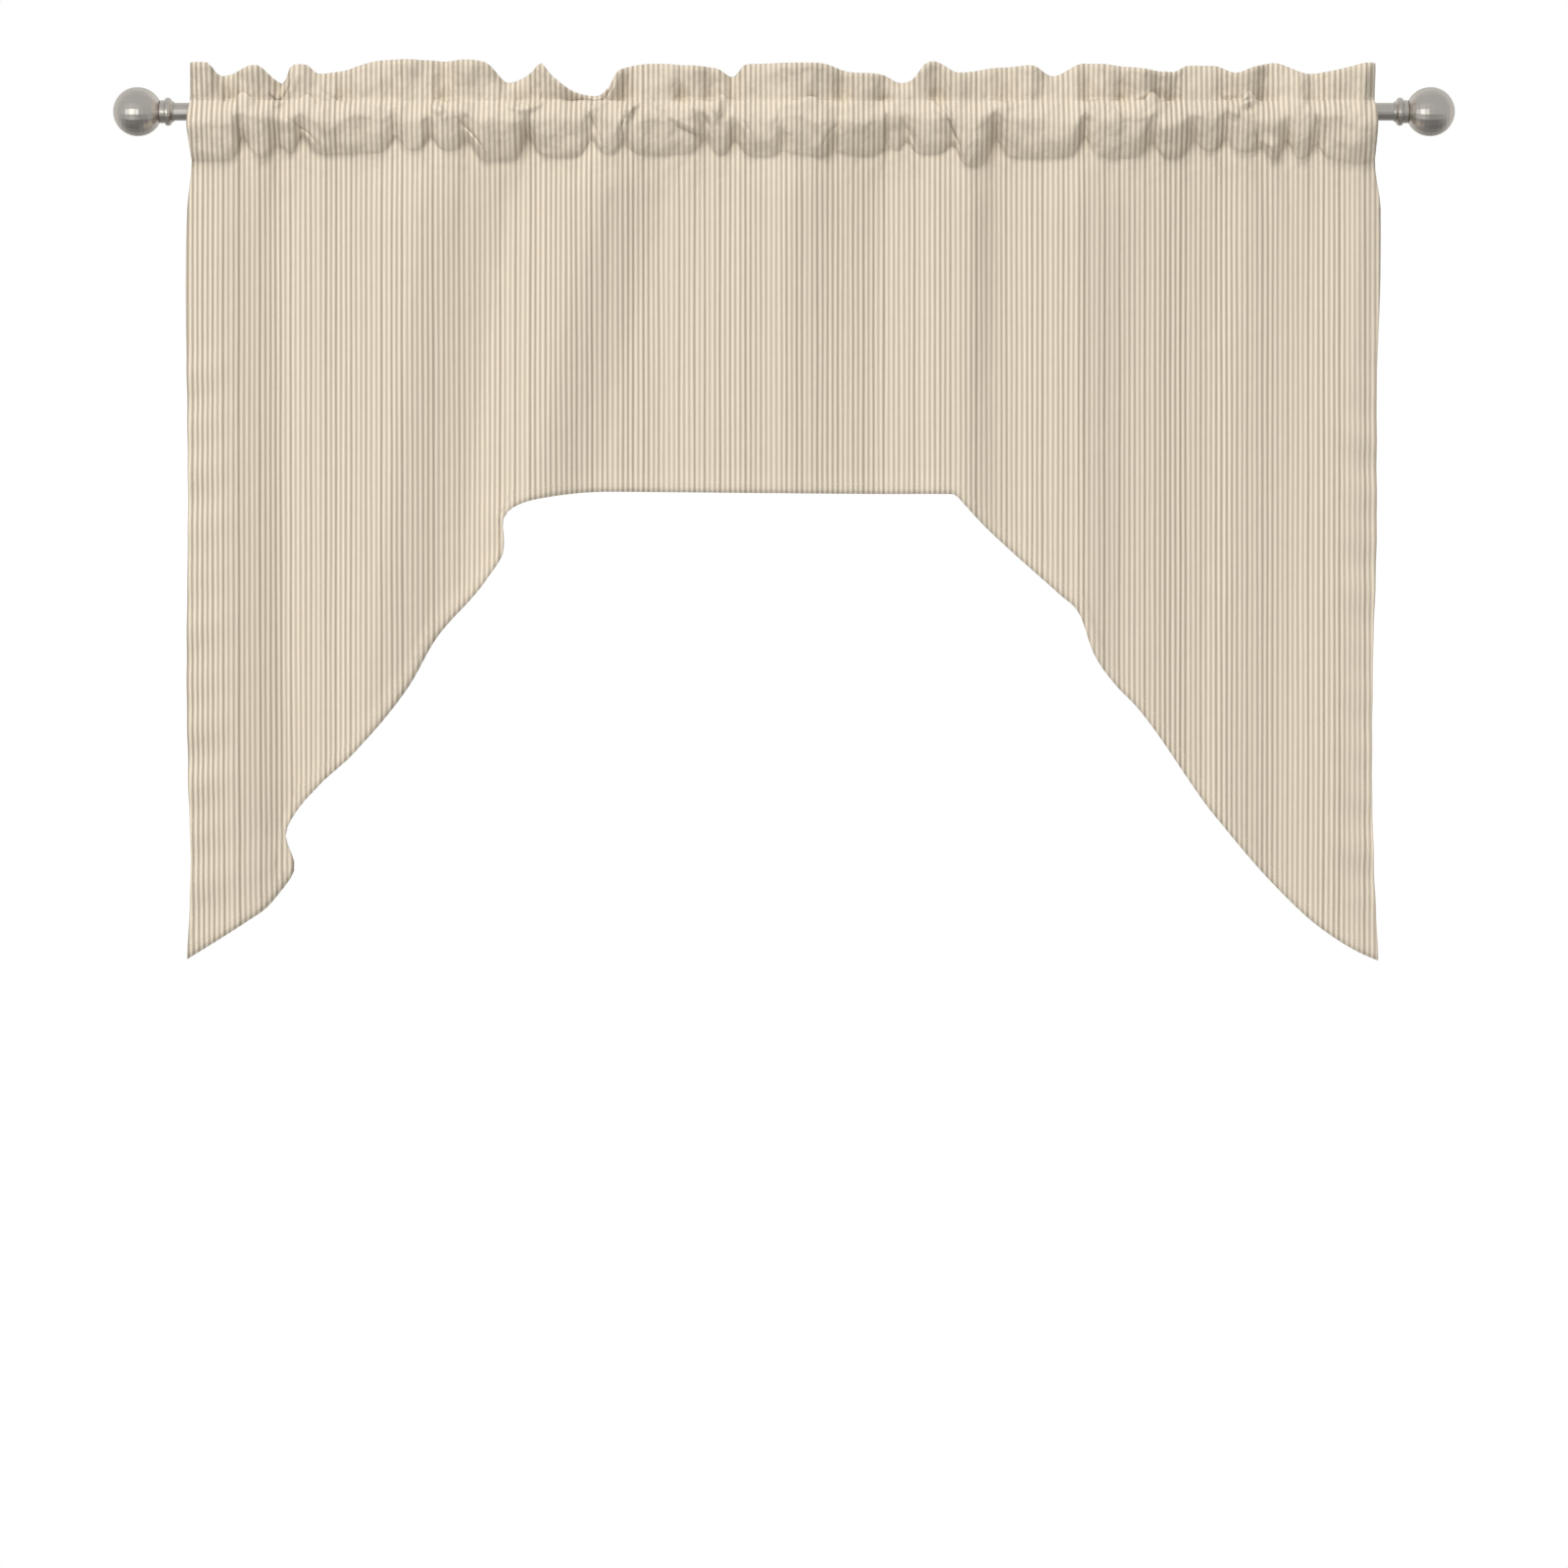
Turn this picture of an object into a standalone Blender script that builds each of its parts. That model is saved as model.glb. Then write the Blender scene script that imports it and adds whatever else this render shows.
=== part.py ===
"""Swag valance with two tails, gathered on a curtain rod with ball finials.

Metres, +Z up. The origin is on the rod's axis, half way along it. The rod runs along X,
the room is on the -Y side and the wall on the +Y side.

The cloth is one length that hangs from its hem up the front, makes the front of the rod
pocket and the frill, turns over at the top, comes down behind the rod and ends just under
the pocket's lower stitching.
"""

import math
from collections import namedtuple

import bmesh
import bpy
import numpy as np
from mathutils import Matrix, Vector
from mathutils.geometry import intersect_point_line

# Rod and finials
ROD_RADIUS = 0.009
ROD_SIDES = 24
ROD_HALF_LENGTH = 0.6335
FIT_GAP = 0.0003
COLLAR_START = 0.6225
COLLAR_END = 0.6371
COLLAR_RADIUS = 0.0105
BEAD_RADIUS = 0.0144
BEAD_CENTRE = 0.6284
BEAD_HALF_WIDTH = 0.0034
CUP_RADIUS = 0.0117
BALL_RADIUS = 0.0250
BALL_CENTRE = 0.6594
TURNING_STEPS = 28

# Cloth
CLOTH_THICKNESS = 0.0010
HEM_THICKNESS = 0.0020
HEM_DEPTH = 0.012
HEM_STEP = 0.003
LAYER_GAP = 0.0012
CLOTH_LEFT = -0.6045
CLOTH_RIGHT = 0.6030
STITCH_HEIGHT = 0.0108
ROD_CLEARANCE = 0.0099
FRILL_LEAST = 0.0030
TURN_IN = 0.009
FRONT_FIRMNESS = 0.80
BACK_REACH = 0.0140
GATHER_DEPTH = 0.0030
GATHER_FADE = 0.060

# Where the rows of faces cross each stretch of the cloth, as shares of the stretch
COLUMNS = 100
BODY_ROWS = (0.22, 0.44, 0.64, 0.81, 0.92)
FRONT_ROWS = (0.0, 0.17, 0.33, 0.48, 0.62, 0.75, 0.87)
FRILL_ROWS = (0.0, 0.5)
FOLD_ROWS = (0.0, 0.5)
BACK_FRILL_ROWS = (1.0, 0.5)
BACK_ROWS = (1.0, 0.86, 0.70, 0.50, 0.25)
HEM_FOLLOWS_EDGE = 0.55
WRAP_PASSES = 30

# Each puff of the rod pocket, from left to right: where it ends on the right, how far it
# reaches forward, how low it hangs, and how high the stitching rises at its right end.
Puff = namedtuple("Puff", "right reach hang rise")
PUFFS = [
    Puff(-0.550, 0.0190, -0.0510, -0.0270),
    Puff(-0.516, 0.0185, -0.0480, -0.0350),
    Puff(-0.490, 0.0165, -0.0440, -0.0250),
    Puff(-0.395, 0.0205, -0.0440, -0.0280),
    Puff(-0.359, 0.0160, -0.0400, -0.0260),
    Puff(-0.322, 0.0190, -0.0430, -0.0300),
    Puff(-0.260, 0.0210, -0.0500, -0.0240),
    Puff(-0.195, 0.0200, -0.0480, -0.0300),
    Puff(-0.163, 0.0165, -0.0460, -0.0340),
    Puff(-0.080, 0.0175, -0.0430, -0.0290),
    Puff(-0.050, 0.0165, -0.0450, -0.0290),
    Puff(0.000, 0.0205, -0.0480, -0.0400),
    Puff(0.050, 0.0210, -0.0460, -0.0380),
    Puff(0.104, 0.0190, -0.0440, -0.0350),
    Puff(0.125, 0.0150, -0.0430, -0.0300),
    Puff(0.172, 0.0190, -0.0440, -0.0330),
    Puff(0.216, 0.0200, -0.0550, -0.0280),
    Puff(0.306, 0.0210, -0.0490, -0.0270),
    Puff(0.374, 0.0210, -0.0480, -0.0300),
    Puff(0.417, 0.0200, -0.0470, -0.0290),
    Puff(0.450, 0.0170, -0.0410, -0.0280),
    Puff(0.485, 0.0165, -0.0430, -0.0340),
    Puff(0.512, 0.0175, -0.0490, -0.0300),
    Puff(0.542, 0.0180, -0.0490, -0.0330),
    Puff(0.603, 0.0200, -0.0530, -0.0480),
]
LEFT_RISE = -0.0500

# The frill above the pocket: its height over the rod's axis, and how far its edge leans
# towards the wall.
Frill = namedtuple("Frill", "x top lean")
FRILLS = [
    Frill(-0.605, 0.0470, -0.0045),
    Frill(-0.588, 0.0460, -0.0067),
    Frill(-0.574, 0.0345, 0.0023),
    Frill(-0.537, 0.0435, -0.0060),
    Frill(-0.511, 0.0280, 0.0045),
    Frill(-0.499, 0.0450, -0.0030),
    Frill(-0.474, 0.0365, 0.0045),
    Frill(-0.425, 0.0450, -0.0008),
    Frill(-0.385, 0.0500, -0.0030),
    Frill(-0.350, 0.0495, 0.0030),
    Frill(-0.316, 0.0490, -0.0060),
    Frill(-0.302, 0.0460, -0.0030),
    Frill(-0.281, 0.0285, 0.0053),
    Frill(-0.262, 0.0360, 0.0000),
    Frill(-0.248, 0.0455, -0.0060),
    Frill(-0.236, 0.0345, -0.0053),
    Frill(-0.190, 0.0142, 0.0015),
    Frill(-0.170, 0.0375, -0.0045),
    Frill(-0.140, 0.0455, 0.0015),
    Frill(-0.100, 0.0440, -0.0053),
    Frill(-0.066, 0.0410, -0.0015),
    Frill(-0.052, 0.0340, 0.0037),
    Frill(-0.036, 0.0460, 0.0023),
    Frill(0.000, 0.0460, -0.0030),
    Frill(0.045, 0.0445, -0.0060),
    Frill(0.073, 0.0365, -0.0023),
    Frill(0.100, 0.0355, -0.0037),
    Frill(0.120, 0.0270, 0.0045),
    Frill(0.153, 0.0480, -0.0060),
    Frill(0.178, 0.0365, -0.0015),
    Frill(0.225, 0.0435, 0.0030),
    Frill(0.254, 0.0440, -0.0015),
    Frill(0.273, 0.0340, 0.0045),
    Frill(0.307, 0.0470, 0.0015),
    Frill(0.345, 0.0430, -0.0037),
    Frill(0.397, 0.0370, -0.0060),
    Frill(0.414, 0.0445, 0.0023),
    Frill(0.440, 0.0440, 0.0008),
    Frill(0.462, 0.0365, -0.0045),
    Frill(0.482, 0.0430, -0.0060),
    Frill(0.501, 0.0475, 0.0023),
    Frill(0.530, 0.0370, 0.0037),
    Frill(0.575, 0.0410, -0.0015),
    Frill(0.603, 0.0470, -0.0037),
]

# The hanging folds, ridges and valleys in turn: where each crosses the stitching and the
# hem, and its depth there. A ridge stands towards the room, at negative depth.
Fold = namedtuple("Fold", "x_top x_hem depth_top depth_hem")
FOLDS = [
    Fold(-0.606, -0.612, -0.001, -0.004),
    Fold(-0.552, -0.520, -0.007, -0.014),
    Fold(-0.497, -0.494, 0.005, 0.008),
    Fold(-0.378, -0.405, -0.010, -0.007),
    Fold(-0.268, -0.320, 0.007, 0.006),
    Fold(-0.197, -0.289, -0.010, -0.014),
    Fold(-0.110, -0.215, 0.004, 0.005),
    Fold(-0.008, -0.060, -0.007, -0.003),
    Fold(0.105, 0.080, 0.007, 0.003),
    Fold(0.160, 0.182, -0.007, -0.009),
    Fold(0.222, 0.240, 0.006, 0.005),
    Fold(0.285, 0.312, -0.009, -0.011),
    Fold(0.362, 0.350, 0.004, 0.005),
    Fold(0.400, 0.374, -0.002, -0.006),
    Fold(0.442, 0.430, 0.006, 0.004),
    Fold(0.480, 0.475, -0.007, -0.006),
    Fold(0.528, 0.520, 0.005, 0.004),
    Fold(0.570, 0.570, -0.005, -0.007),
    Fold(0.604, 0.608, 0.001, -0.004),
]

# The hem as it hangs, from the tip of the left tail over the arch to the right tail
HemPoint = namedtuple("HemPoint", "x z")
HEM = [
    HemPoint(-0.6100, -0.8650),
    HemPoint(-0.5535, -0.8280),
    HemPoint(-0.5300, -0.8100),
    HemPoint(-0.5160, -0.7850),
    HemPoint(-0.5080, -0.7500),
    HemPoint(-0.5000, -0.7170),
    HemPoint(-0.4770, -0.6890),
    HemPoint(-0.4390, -0.6560),
    HemPoint(-0.3815, -0.5870),
    HemPoint(-0.3540, -0.5380),
    HemPoint(-0.3040, -0.4786),
    HemPoint(-0.2925, -0.4587),
    HemPoint(-0.2880, -0.4400),
    HemPoint(-0.2830, -0.4200),
    HemPoint(-0.2760, -0.4060),
    HemPoint(-0.2542, -0.3965),
    HemPoint(-0.1800, -0.3877),
    HemPoint(0.0000, -0.3895),
    HemPoint(0.1720, -0.3905),
    HemPoint(0.1845, -0.4017),
    HemPoint(0.2010, -0.4190),
    HemPoint(0.2824, -0.4925),
    HemPoint(0.3010, -0.5090),
    HemPoint(0.3210, -0.5560),
    HemPoint(0.3437, -0.5864),
    HemPoint(0.3640, -0.6070),
    HemPoint(0.4470, -0.7220),
    HemPoint(0.5140, -0.8000),
    HemPoint(0.5480, -0.8320),
    HemPoint(0.5866, -0.8576),
    HemPoint(0.6067, -0.8662),
]

# Where a ripple at the hem pushes the cloth sideways: its middle, the push, and how far
# it reaches across and up.
Ripple = namedtuple("Ripple", "x z push across up")
RIPPLES = [
    Ripple(-0.510, -0.773, 0.0085, 0.050, 0.020),
    Ripple(-0.512, -0.735, -0.0080, 0.050, 0.020),
    Ripple(-0.287, -0.449, 0.0040, 0.030, 0.014),
    Ripple(-0.284, -0.414, -0.0050, 0.030, 0.012),
]

# How far the two side edges sway off a straight line, by height.
Sway = namedtuple("Sway", "z left right")
SWAYS = [
    Sway(-0.865, 0.0000, 0.0000),
    Sway(-0.830, 0.0020, -0.0015),
    Sway(-0.760, 0.0035, -0.0045),
    Sway(-0.680, 0.0010, -0.0060),
    Sway(-0.560, -0.0010, -0.0045),
    Sway(-0.420, -0.0005, 0.0000),
    Sway(-0.290, -0.0025, 0.0005),
    Sway(-0.160, -0.0050, 0.0050),
    Sway(-0.100, -0.0040, 0.0055),
    Sway(-0.053, 0.0000, 0.0000),
    Sway(-0.010, -0.0035, 0.0015),
    Sway(0.012, -0.0010, -0.0010),
    Sway(0.050, 0.0000, -0.0010),
]


def blend(low, high, share):
    """The value that lies that share of the way from low to high."""
    return low + (high - low) * share


def smooth_curve(xs, ys):
    """A curve through the points that never swings past them, as a function of x."""
    xs = np.asarray(xs, float)
    ys = np.asarray(ys, float)
    steps = np.diff(xs)
    slopes = np.diff(ys) / steps
    tangents = np.zeros(len(xs))
    for i in range(1, len(xs) - 1):
        before, after = slopes[i - 1], slopes[i]
        if before * after > 0:
            w_before = 2 * steps[i] + steps[i - 1]
            w_after = steps[i] + 2 * steps[i - 1]
            tangents[i] = (w_before + w_after) / (w_before / before + w_after / after)

    def value(x):
        x = min(max(x, xs[0]), xs[-1])
        i = int(np.clip(np.searchsorted(xs, x) - 1, 0, len(steps) - 1))
        t = (x - xs[i]) / steps[i]
        rise = steps[i] * (tangents[i] * t * (1 - t) ** 2 - tangents[i + 1] * t * t * (1 - t))
        return float(blend(ys[i], ys[i + 1], t * t * (3 - 2 * t)) + rise)

    return value


frill_top = smooth_curve([f.x for f in FRILLS], [f.top for f in FRILLS])
frill_lean = smooth_curve([f.x for f in FRILLS], [f.lean for f in FRILLS])
sway_left = smooth_curve([s.z for s in SWAYS], [s.left for s in SWAYS])
sway_right = smooth_curve([s.z for s in SWAYS], [s.right for s in SWAYS])


def puff_at(x):
    """The puff that x is in, its left end, and the share of the way across it."""
    left = CLOTH_LEFT
    for puff in PUFFS:
        if x <= puff.right or puff is PUFFS[-1]:
            share = (x - left) / (puff.right - left)
            return puff, left, min(max(share, 0.0), 1.0)
        left = puff.right


def arch(share):
    """A full, round-shouldered arch: 0 at both ends of a puff and 1 at its middle."""
    return math.sin(math.pi * share) ** 0.6


def seam_height(x):
    """The height of the pocket's lower stitching, which hangs in a scallop at each puff."""
    puff, left, share = puff_at(x)
    index = PUFFS.index(puff)
    rise_left = PUFFS[index - 1].rise if index else LEFT_RISE
    ends = blend(rise_left, puff.rise, share)
    return blend(ends, puff.hang, arch(share))


def pocket_reach(x):
    """How far the pocket's front stands out from the stitching."""
    puff, left, share = puff_at(x)
    tight = ROD_CLEARANCE + 0.0015
    return blend(tight, puff.reach, arch(share))


def fold_depth(x, share_down):
    """The depth of the hanging folds at x, that share of the way from stitching to hem."""
    crests = [blend(f.x_top, f.x_hem, share_down) for f in FOLDS]
    depths = [blend(f.depth_top, f.depth_hem, share_down) for f in FOLDS]
    return smooth_curve(crests, depths)(x)


def gather_depth(x, below_seam):
    """The small pleats that start between the puffs and fade out down the cloth."""
    pleat = 1 - 2 * arch(puff_at(x)[2])
    return GATHER_DEPTH * pleat * math.exp(-below_seam / GATHER_FADE)


def ripple_push(x, z):
    """How far the ripples at the hem move the cloth sideways at a place."""
    total = 0.0
    for ripple in RIPPLES:
        distance = ((x - ripple.x) / ripple.across) ** 2 + ((z - ripple.z) / ripple.up) ** 2
        total += ripple.push * math.exp(-distance)
    return total


def hem_curve():
    """The hem as a function of the share of the cloth's width, giving x and z."""
    points = np.array(HEM)
    lengths = np.linalg.norm(np.diff(points, axis=0), axis=1)
    along_edge = np.concatenate([[0], np.cumsum(lengths)]) / lengths.sum()
    across = (points[:, 0] - points[0, 0]) / (points[-1, 0] - points[0, 0])
    share = blend(np.maximum.accumulate(across), along_edge, HEM_FOLLOWS_EDGE)
    return smooth_curve(share, points[:, 0]), smooth_curve(share, points[:, 1])


def width_shares():
    """The columns' shares of the cloth's width: even inside each puff, so that every
    crease between two puffs has a column of its own."""
    width = CLOTH_RIGHT - CLOTH_LEFT
    counts = []
    left = CLOTH_LEFT
    for puff in PUFFS:
        counts.append(max(2, round(COLUMNS * (puff.right - left) / width)))
        left = puff.right
    while sum(counts) != COLUMNS:
        step = 1 if sum(counts) < COLUMNS else -1
        counts[int(np.argmax(counts))] += step
    shares = [0.0]
    left = CLOTH_LEFT
    for puff, count in zip(PUFFS, counts):
        for i in range(1, count + 1):
            shares.append((blend(left, puff.right, i / count) - CLOTH_LEFT) / width)
        left = puff.right
    return shares


def wrapped(points):
    """The points of one section of the pocket, pushed out until no stretch between two of
    them lies nearer the rod's axis than the cloth can."""
    for _ in range(WRAP_PASSES):
        for i in range(len(points) - 1):
            axis = Vector((points[i].x, 0, 0))
            nearest, share = intersect_point_line(axis, points[i], points[i + 1])
            away = nearest - axis
            away.x = 0
            if not 0 < share < 1 or away.length >= ROD_CLEARANCE:
                continue
            push = away * (ROD_CLEARANCE / away.length - 1)
            if i > 0:
                points[i] = points[i] + push
            if i + 2 < len(points):
                points[i + 1] = points[i + 1] + push
    return points


def hem_rise(share):
    """How far up a vertical line the hem's depth reaches where the edge is slanted."""
    step = 0.002
    before, after = max(share - step, 0.0), min(share + step, 1.0)
    run = HEM_X(after) - HEM_X(before)
    fall = HEM_Z(after) - HEM_Z(before)
    slant = math.hypot(run, fall) / max(abs(run), 1e-6)
    return min(slant, 2.5)


def body_points(share, x):
    """The hanging cloth in one column, from the hem up to just short of the stitching."""
    top = seam_height(x)
    hem_x, hem_z = HEM_X(share), HEM_Z(share)
    hem_up = HEM_DEPTH * hem_rise(share) / (top - hem_z)
    step_up = hem_up + HEM_STEP / (top - hem_z)
    turn_in_up = 1 - TURN_IN / (top - hem_z)
    ups = [0.0, hem_up, step_up]
    ups += [blend(step_up, turn_in_up, row) for row in BODY_ROWS]
    ups.append(turn_in_up)
    points = []
    for up in ups:
        across, z = blend(hem_x, x, up), blend(hem_z, top, up)
        depth = fold_depth(across, 1 - up) + gather_depth(x, top - z)
        points.append(Vector((across + ripple_push(across, z), depth, z)))
    return points


def pocket_points(x, rows, side):
    """The pocket in one column at the given shares of the way from its lower stitching to
    its upper stitching. Side is -1 for the front and 1 for the back."""
    low = seam_height(x)
    seam_depth = fold_depth(x, 0) + gather_depth(x, 0)
    if side > 0:
        seam_depth += 2 * LAYER_GAP
    reach = pocket_reach(x) if side < 0 else BACK_REACH
    points = []
    for row in rows:
        angle = math.pi * (row - 0.5)
        z = blend(low, STITCH_HEIGHT, 0.5 + 0.5 * math.sin(angle))
        bulge = reach * max(math.cos(angle), 0.0) ** FRONT_FIRMNESS
        y = blend(seam_depth, side * LAYER_GAP, row) + side * bulge
        points.append(Vector((x, y, z)))
    return points


def frill_points(x, rows, side):
    """One layer of the frill in one column, at shares of the way up to its top fold."""
    top = max(frill_top(x), STITCH_HEIGHT + FRILL_LEAST)
    points = []
    for up in rows:
        apart = LAYER_GAP * (1 + math.sin(math.pi * up))
        y = frill_lean(x) * up ** 1.4 + side * apart
        points.append(Vector((x, y, blend(STITCH_HEIGHT, top, up))))
    return points


def top_fold_points(x):
    """The turned-over top edge in one column, from the front to the back."""
    top = max(frill_top(x), STITCH_HEIGHT + FRILL_LEAST)
    points = []
    for turn in FOLD_ROWS:
        angle = math.pi * turn
        y = frill_lean(x) - LAYER_GAP * math.cos(angle)
        points.append(Vector((x, y, top + LAYER_GAP * math.sin(angle))))
    return points


def turn_in_points(x):
    """The end of the back layer, from the lower stitching down behind the cloth."""
    points = []
    for down in (0.0, TURN_IN):
        y = fold_depth(x, 0) + gather_depth(x, down) + 2 * LAYER_GAP
        points.append(Vector((x, y, seam_height(x) - down)))
    return points


def cloth_column(share):
    """All the cloth's points for one share of its width, from the hem up the front, over
    the top, and down behind the rod."""
    x = blend(CLOTH_LEFT, CLOTH_RIGHT, share)
    stitch_front = Vector((x, -LAYER_GAP, STITCH_HEIGHT))
    front = wrapped(pocket_points(x, FRONT_ROWS, -1) + [stitch_front])[:-1]
    turn_in = turn_in_points(x)
    back = wrapped(pocket_points(x, BACK_ROWS, 1) + turn_in[:1])[:-1]
    points = body_points(share, x) + front + frill_points(x, FRILL_ROWS, -1)
    points += top_fold_points(x) + frill_points(x, BACK_FRILL_ROWS, 1) + back + turn_in
    for point in points:
        point.x += blend(sway_left(point.z), sway_right(point.z), share)
    return points


def clear_scene():
    for item in list(bpy.data.objects):
        bpy.data.objects.remove(item, do_unlink=True)


def material(name, colour, roughness, metallic):
    made = bpy.data.materials.new(name)
    made.use_nodes = True
    shader = made.node_tree.nodes["Principled BSDF"]
    shader.inputs["Base Color"].default_value = (*colour, 1.0)
    shader.inputs["Roughness"].default_value = roughness
    shader.inputs["Metallic"].default_value = metallic
    return made


def place(name, mesh, look, collection):
    made = bpy.data.objects.new(name, mesh)
    collection.objects.link(made)
    mesh.materials.append(look)
    return made


def make_cloth(look, collection):
    """The cloth: a grid whose columns are laid along the valance, with a thicker hem."""
    columns = [cloth_column(share) for share in width_shares()]
    rows = len(columns[0])
    mesh = bpy.data.meshes.new("swag_valance")
    made = place("swag_valance", mesh, look, collection)
    hem = made.vertex_groups.new(name="hem")
    rest = made.vertex_groups.new(name="rest")
    sheet = bmesh.new()
    weights = sheet.verts.layers.deform.new()
    bmesh.ops.create_grid(sheet, x_segments=COLUMNS, y_segments=rows - 1, size=0.5)
    for vertex in sheet.verts:
        column = round((vertex.co.x + 0.5) * COLUMNS)
        row = round((vertex.co.y + 0.5) * (rows - 1))
        vertex.co = columns[column][row]
        group = hem if row < 2 else rest
        vertex[weights][group.index] = 1.0
    bmesh.ops.recalc_face_normals(sheet, faces=sheet.faces)
    sheet.to_mesh(mesh)
    sheet.free()
    solid = made.modifiers.new("Cloth thickness", "SOLIDIFY")
    solid.thickness = HEM_THICKNESS
    solid.offset = 0
    solid.vertex_group = hem.name
    solid.thickness_vertex_group = CLOTH_THICKNESS / HEM_THICKNESS
    mesh.shade_smooth()
    return made


def make_rod(look, collection):
    """The rod, with one of its flats facing straight down where a bracket carries it."""
    bpy.ops.mesh.primitive_cylinder_add(
        vertices=ROD_SIDES, radius=ROD_RADIUS, depth=2 * ROD_HALF_LENGTH
    )
    made = bpy.context.object
    made.name = "curtain_rod"
    made.data.name = "curtain_rod"
    made.data.transform(Matrix.Rotation(math.pi / ROD_SIDES, 4, "Z"))
    made.rotation_euler = (0, math.pi / 2, 0)
    made.data.materials.append(look)
    made.data.shade_smooth()
    made.data.set_sharp_from_angle(angle=math.radians(40))
    for holder in list(made.users_collection):
        holder.objects.unlink(made)
    collection.objects.link(made)
    return made


def turned(name, profile, side, look, collection):
    """A piece turned about the rod's axis. The profile is (radius, distance from the
    rod's middle), from the outer end inwards, and side is -1 for the left end."""
    mesh = bpy.data.meshes.new(name)
    edges = [(i, i + 1) for i in range(len(profile) - 1)]
    mesh.from_pydata([(radius, 0, along) for radius, along in profile], edges, [])
    made = place(name, mesh, look, collection)
    made.rotation_euler = (0, side * math.pi / 2, 0)
    screw = made.modifiers.new("Turning", "SCREW")
    screw.steps = TURNING_STEPS
    screw.render_steps = TURNING_STEPS
    screw.use_merge_vertices = True
    screw.merge_threshold = 0.00001
    return made


def ball_profile():
    """A ball with a small flat where it is screwed against the collar."""
    flat = COLLAR_END + FIT_GAP
    start = math.acos((flat - BALL_CENTRE) / BALL_RADIUS)
    steps = 14
    points = []
    for i in range(steps + 1):
        angle = start * i / steps
        radius = BALL_RADIUS * math.sin(angle)
        points.append((radius, BALL_CENTRE + BALL_RADIUS * math.cos(angle)))
    points.append((0.0, flat))
    return points


def collar_profile():
    """A sleeve with a raised bead and a cup for the ball, bored for the rod's end."""
    bore = ROD_RADIUS + FIT_GAP
    floor = ROD_HALF_LENGTH + FIT_GAP
    points = [(0.0, COLLAR_END), (CUP_RADIUS - 0.0008, COLLAR_END)]
    points.append((CUP_RADIUS, COLLAR_END - 0.0008))
    points.append((CUP_RADIUS, BEAD_CENTRE + BEAD_HALF_WIDTH + 0.0006))
    steps = 6
    for i in range(steps + 1):
        angle = math.pi * i / steps
        rise = (BEAD_RADIUS - CUP_RADIUS) * math.sin(angle)
        points.append((CUP_RADIUS + rise, BEAD_CENTRE + BEAD_HALF_WIDTH * math.cos(angle)))
    points.append((COLLAR_RADIUS, COLLAR_START + 0.0012))
    points.append((COLLAR_RADIUS - 0.0004, COLLAR_START))
    points.append((bore, COLLAR_START))
    points.append((bore, floor))
    points.append((0.0, floor))
    return points


def main():
    clear_scene()
    collection = bpy.data.collections.new("Swag valance on a rod")
    bpy.context.scene.collection.children.link(collection)
    ticking = material("Ticking cloth", (0.72, 0.64, 0.52), 0.90, 0.0)
    nickel = material("Brushed nickel", (0.52, 0.49, 0.44), 0.35, 1.0)
    make_rod(nickel, collection)
    for name, side in (("left", -1), ("right", 1)):
        turned("finial_collar_" + name, collar_profile(), side, nickel, collection)
        turned("finial_ball_" + name, ball_profile(), side, nickel, collection)
    make_cloth(ticking, collection)


HEM_X, HEM_Z = hem_curve()

main()
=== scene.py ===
import math
from collections import namedtuple

import bmesh
import bpy
import numpy as np
from bpy.props import FloatProperty, FloatVectorProperty, IntProperty, PointerProperty
from mathutils import Matrix, Vector


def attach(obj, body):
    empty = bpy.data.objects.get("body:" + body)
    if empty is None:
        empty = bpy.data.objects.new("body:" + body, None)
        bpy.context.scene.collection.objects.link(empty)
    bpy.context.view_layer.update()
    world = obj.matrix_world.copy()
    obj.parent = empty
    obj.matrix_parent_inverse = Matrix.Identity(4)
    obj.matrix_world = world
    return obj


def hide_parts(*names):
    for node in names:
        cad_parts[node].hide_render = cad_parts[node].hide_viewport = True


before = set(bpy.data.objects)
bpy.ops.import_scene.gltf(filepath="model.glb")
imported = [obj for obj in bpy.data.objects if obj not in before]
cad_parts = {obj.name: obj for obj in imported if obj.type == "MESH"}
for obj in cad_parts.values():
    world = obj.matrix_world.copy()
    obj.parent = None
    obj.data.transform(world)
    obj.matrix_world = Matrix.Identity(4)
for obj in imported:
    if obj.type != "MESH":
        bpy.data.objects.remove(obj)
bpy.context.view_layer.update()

bl_info = {
    "name": "Swag Valance",
    "version": (1, 0, 0),
    "blender": (4, 5, 0),
    "location": "3D View > Sidebar > Valance",
    "description": "A ticking swag valance with two tails, gathered on a nickel curtain rod",
    "category": "Add Mesh",
}

# The cloth's two side edges, and half the space between its front and back layers
CLOTH_LEFT = -0.6045
CLOTH_RIGHT = 0.6030
CLOTH_WIDTH = CLOTH_RIGHT - CLOTH_LEFT
LAYER_GAP = 0.0012

# The pocket on the rod. ROD_CLEARANCE is the least that the cloth keeps from the rod's axis.
STITCH_HEIGHT = 0.0108
ROD_CLEARANCE = 0.0101
VALLEY_CLEARANCE = 0.0006
FULLNESS = 0.97
HOLLOW_AT_SEAM = 0.0092
VALLEY_AT_SEAM = 0.80
VALLEY_AT_STITCHING = 0.10
VALLEY_VARIES = 0.36
BACK_REACH = 0.0140
BACK_HOLLOW = 0.0018
BELLY_SWING = 0.22
STAND = 0.0120
STAND_IN_BELLY = 0.55
STAND_WAVE = 0.0117
STAND_DRIFT = 0.041

# The frill above it, and the end of the back layer below it
FRILL_LEAST = 0.0030
FRILL_LEAN = 1.45
FRILL_DROOP = -0.0032
TURN_IN = 0.009

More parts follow.
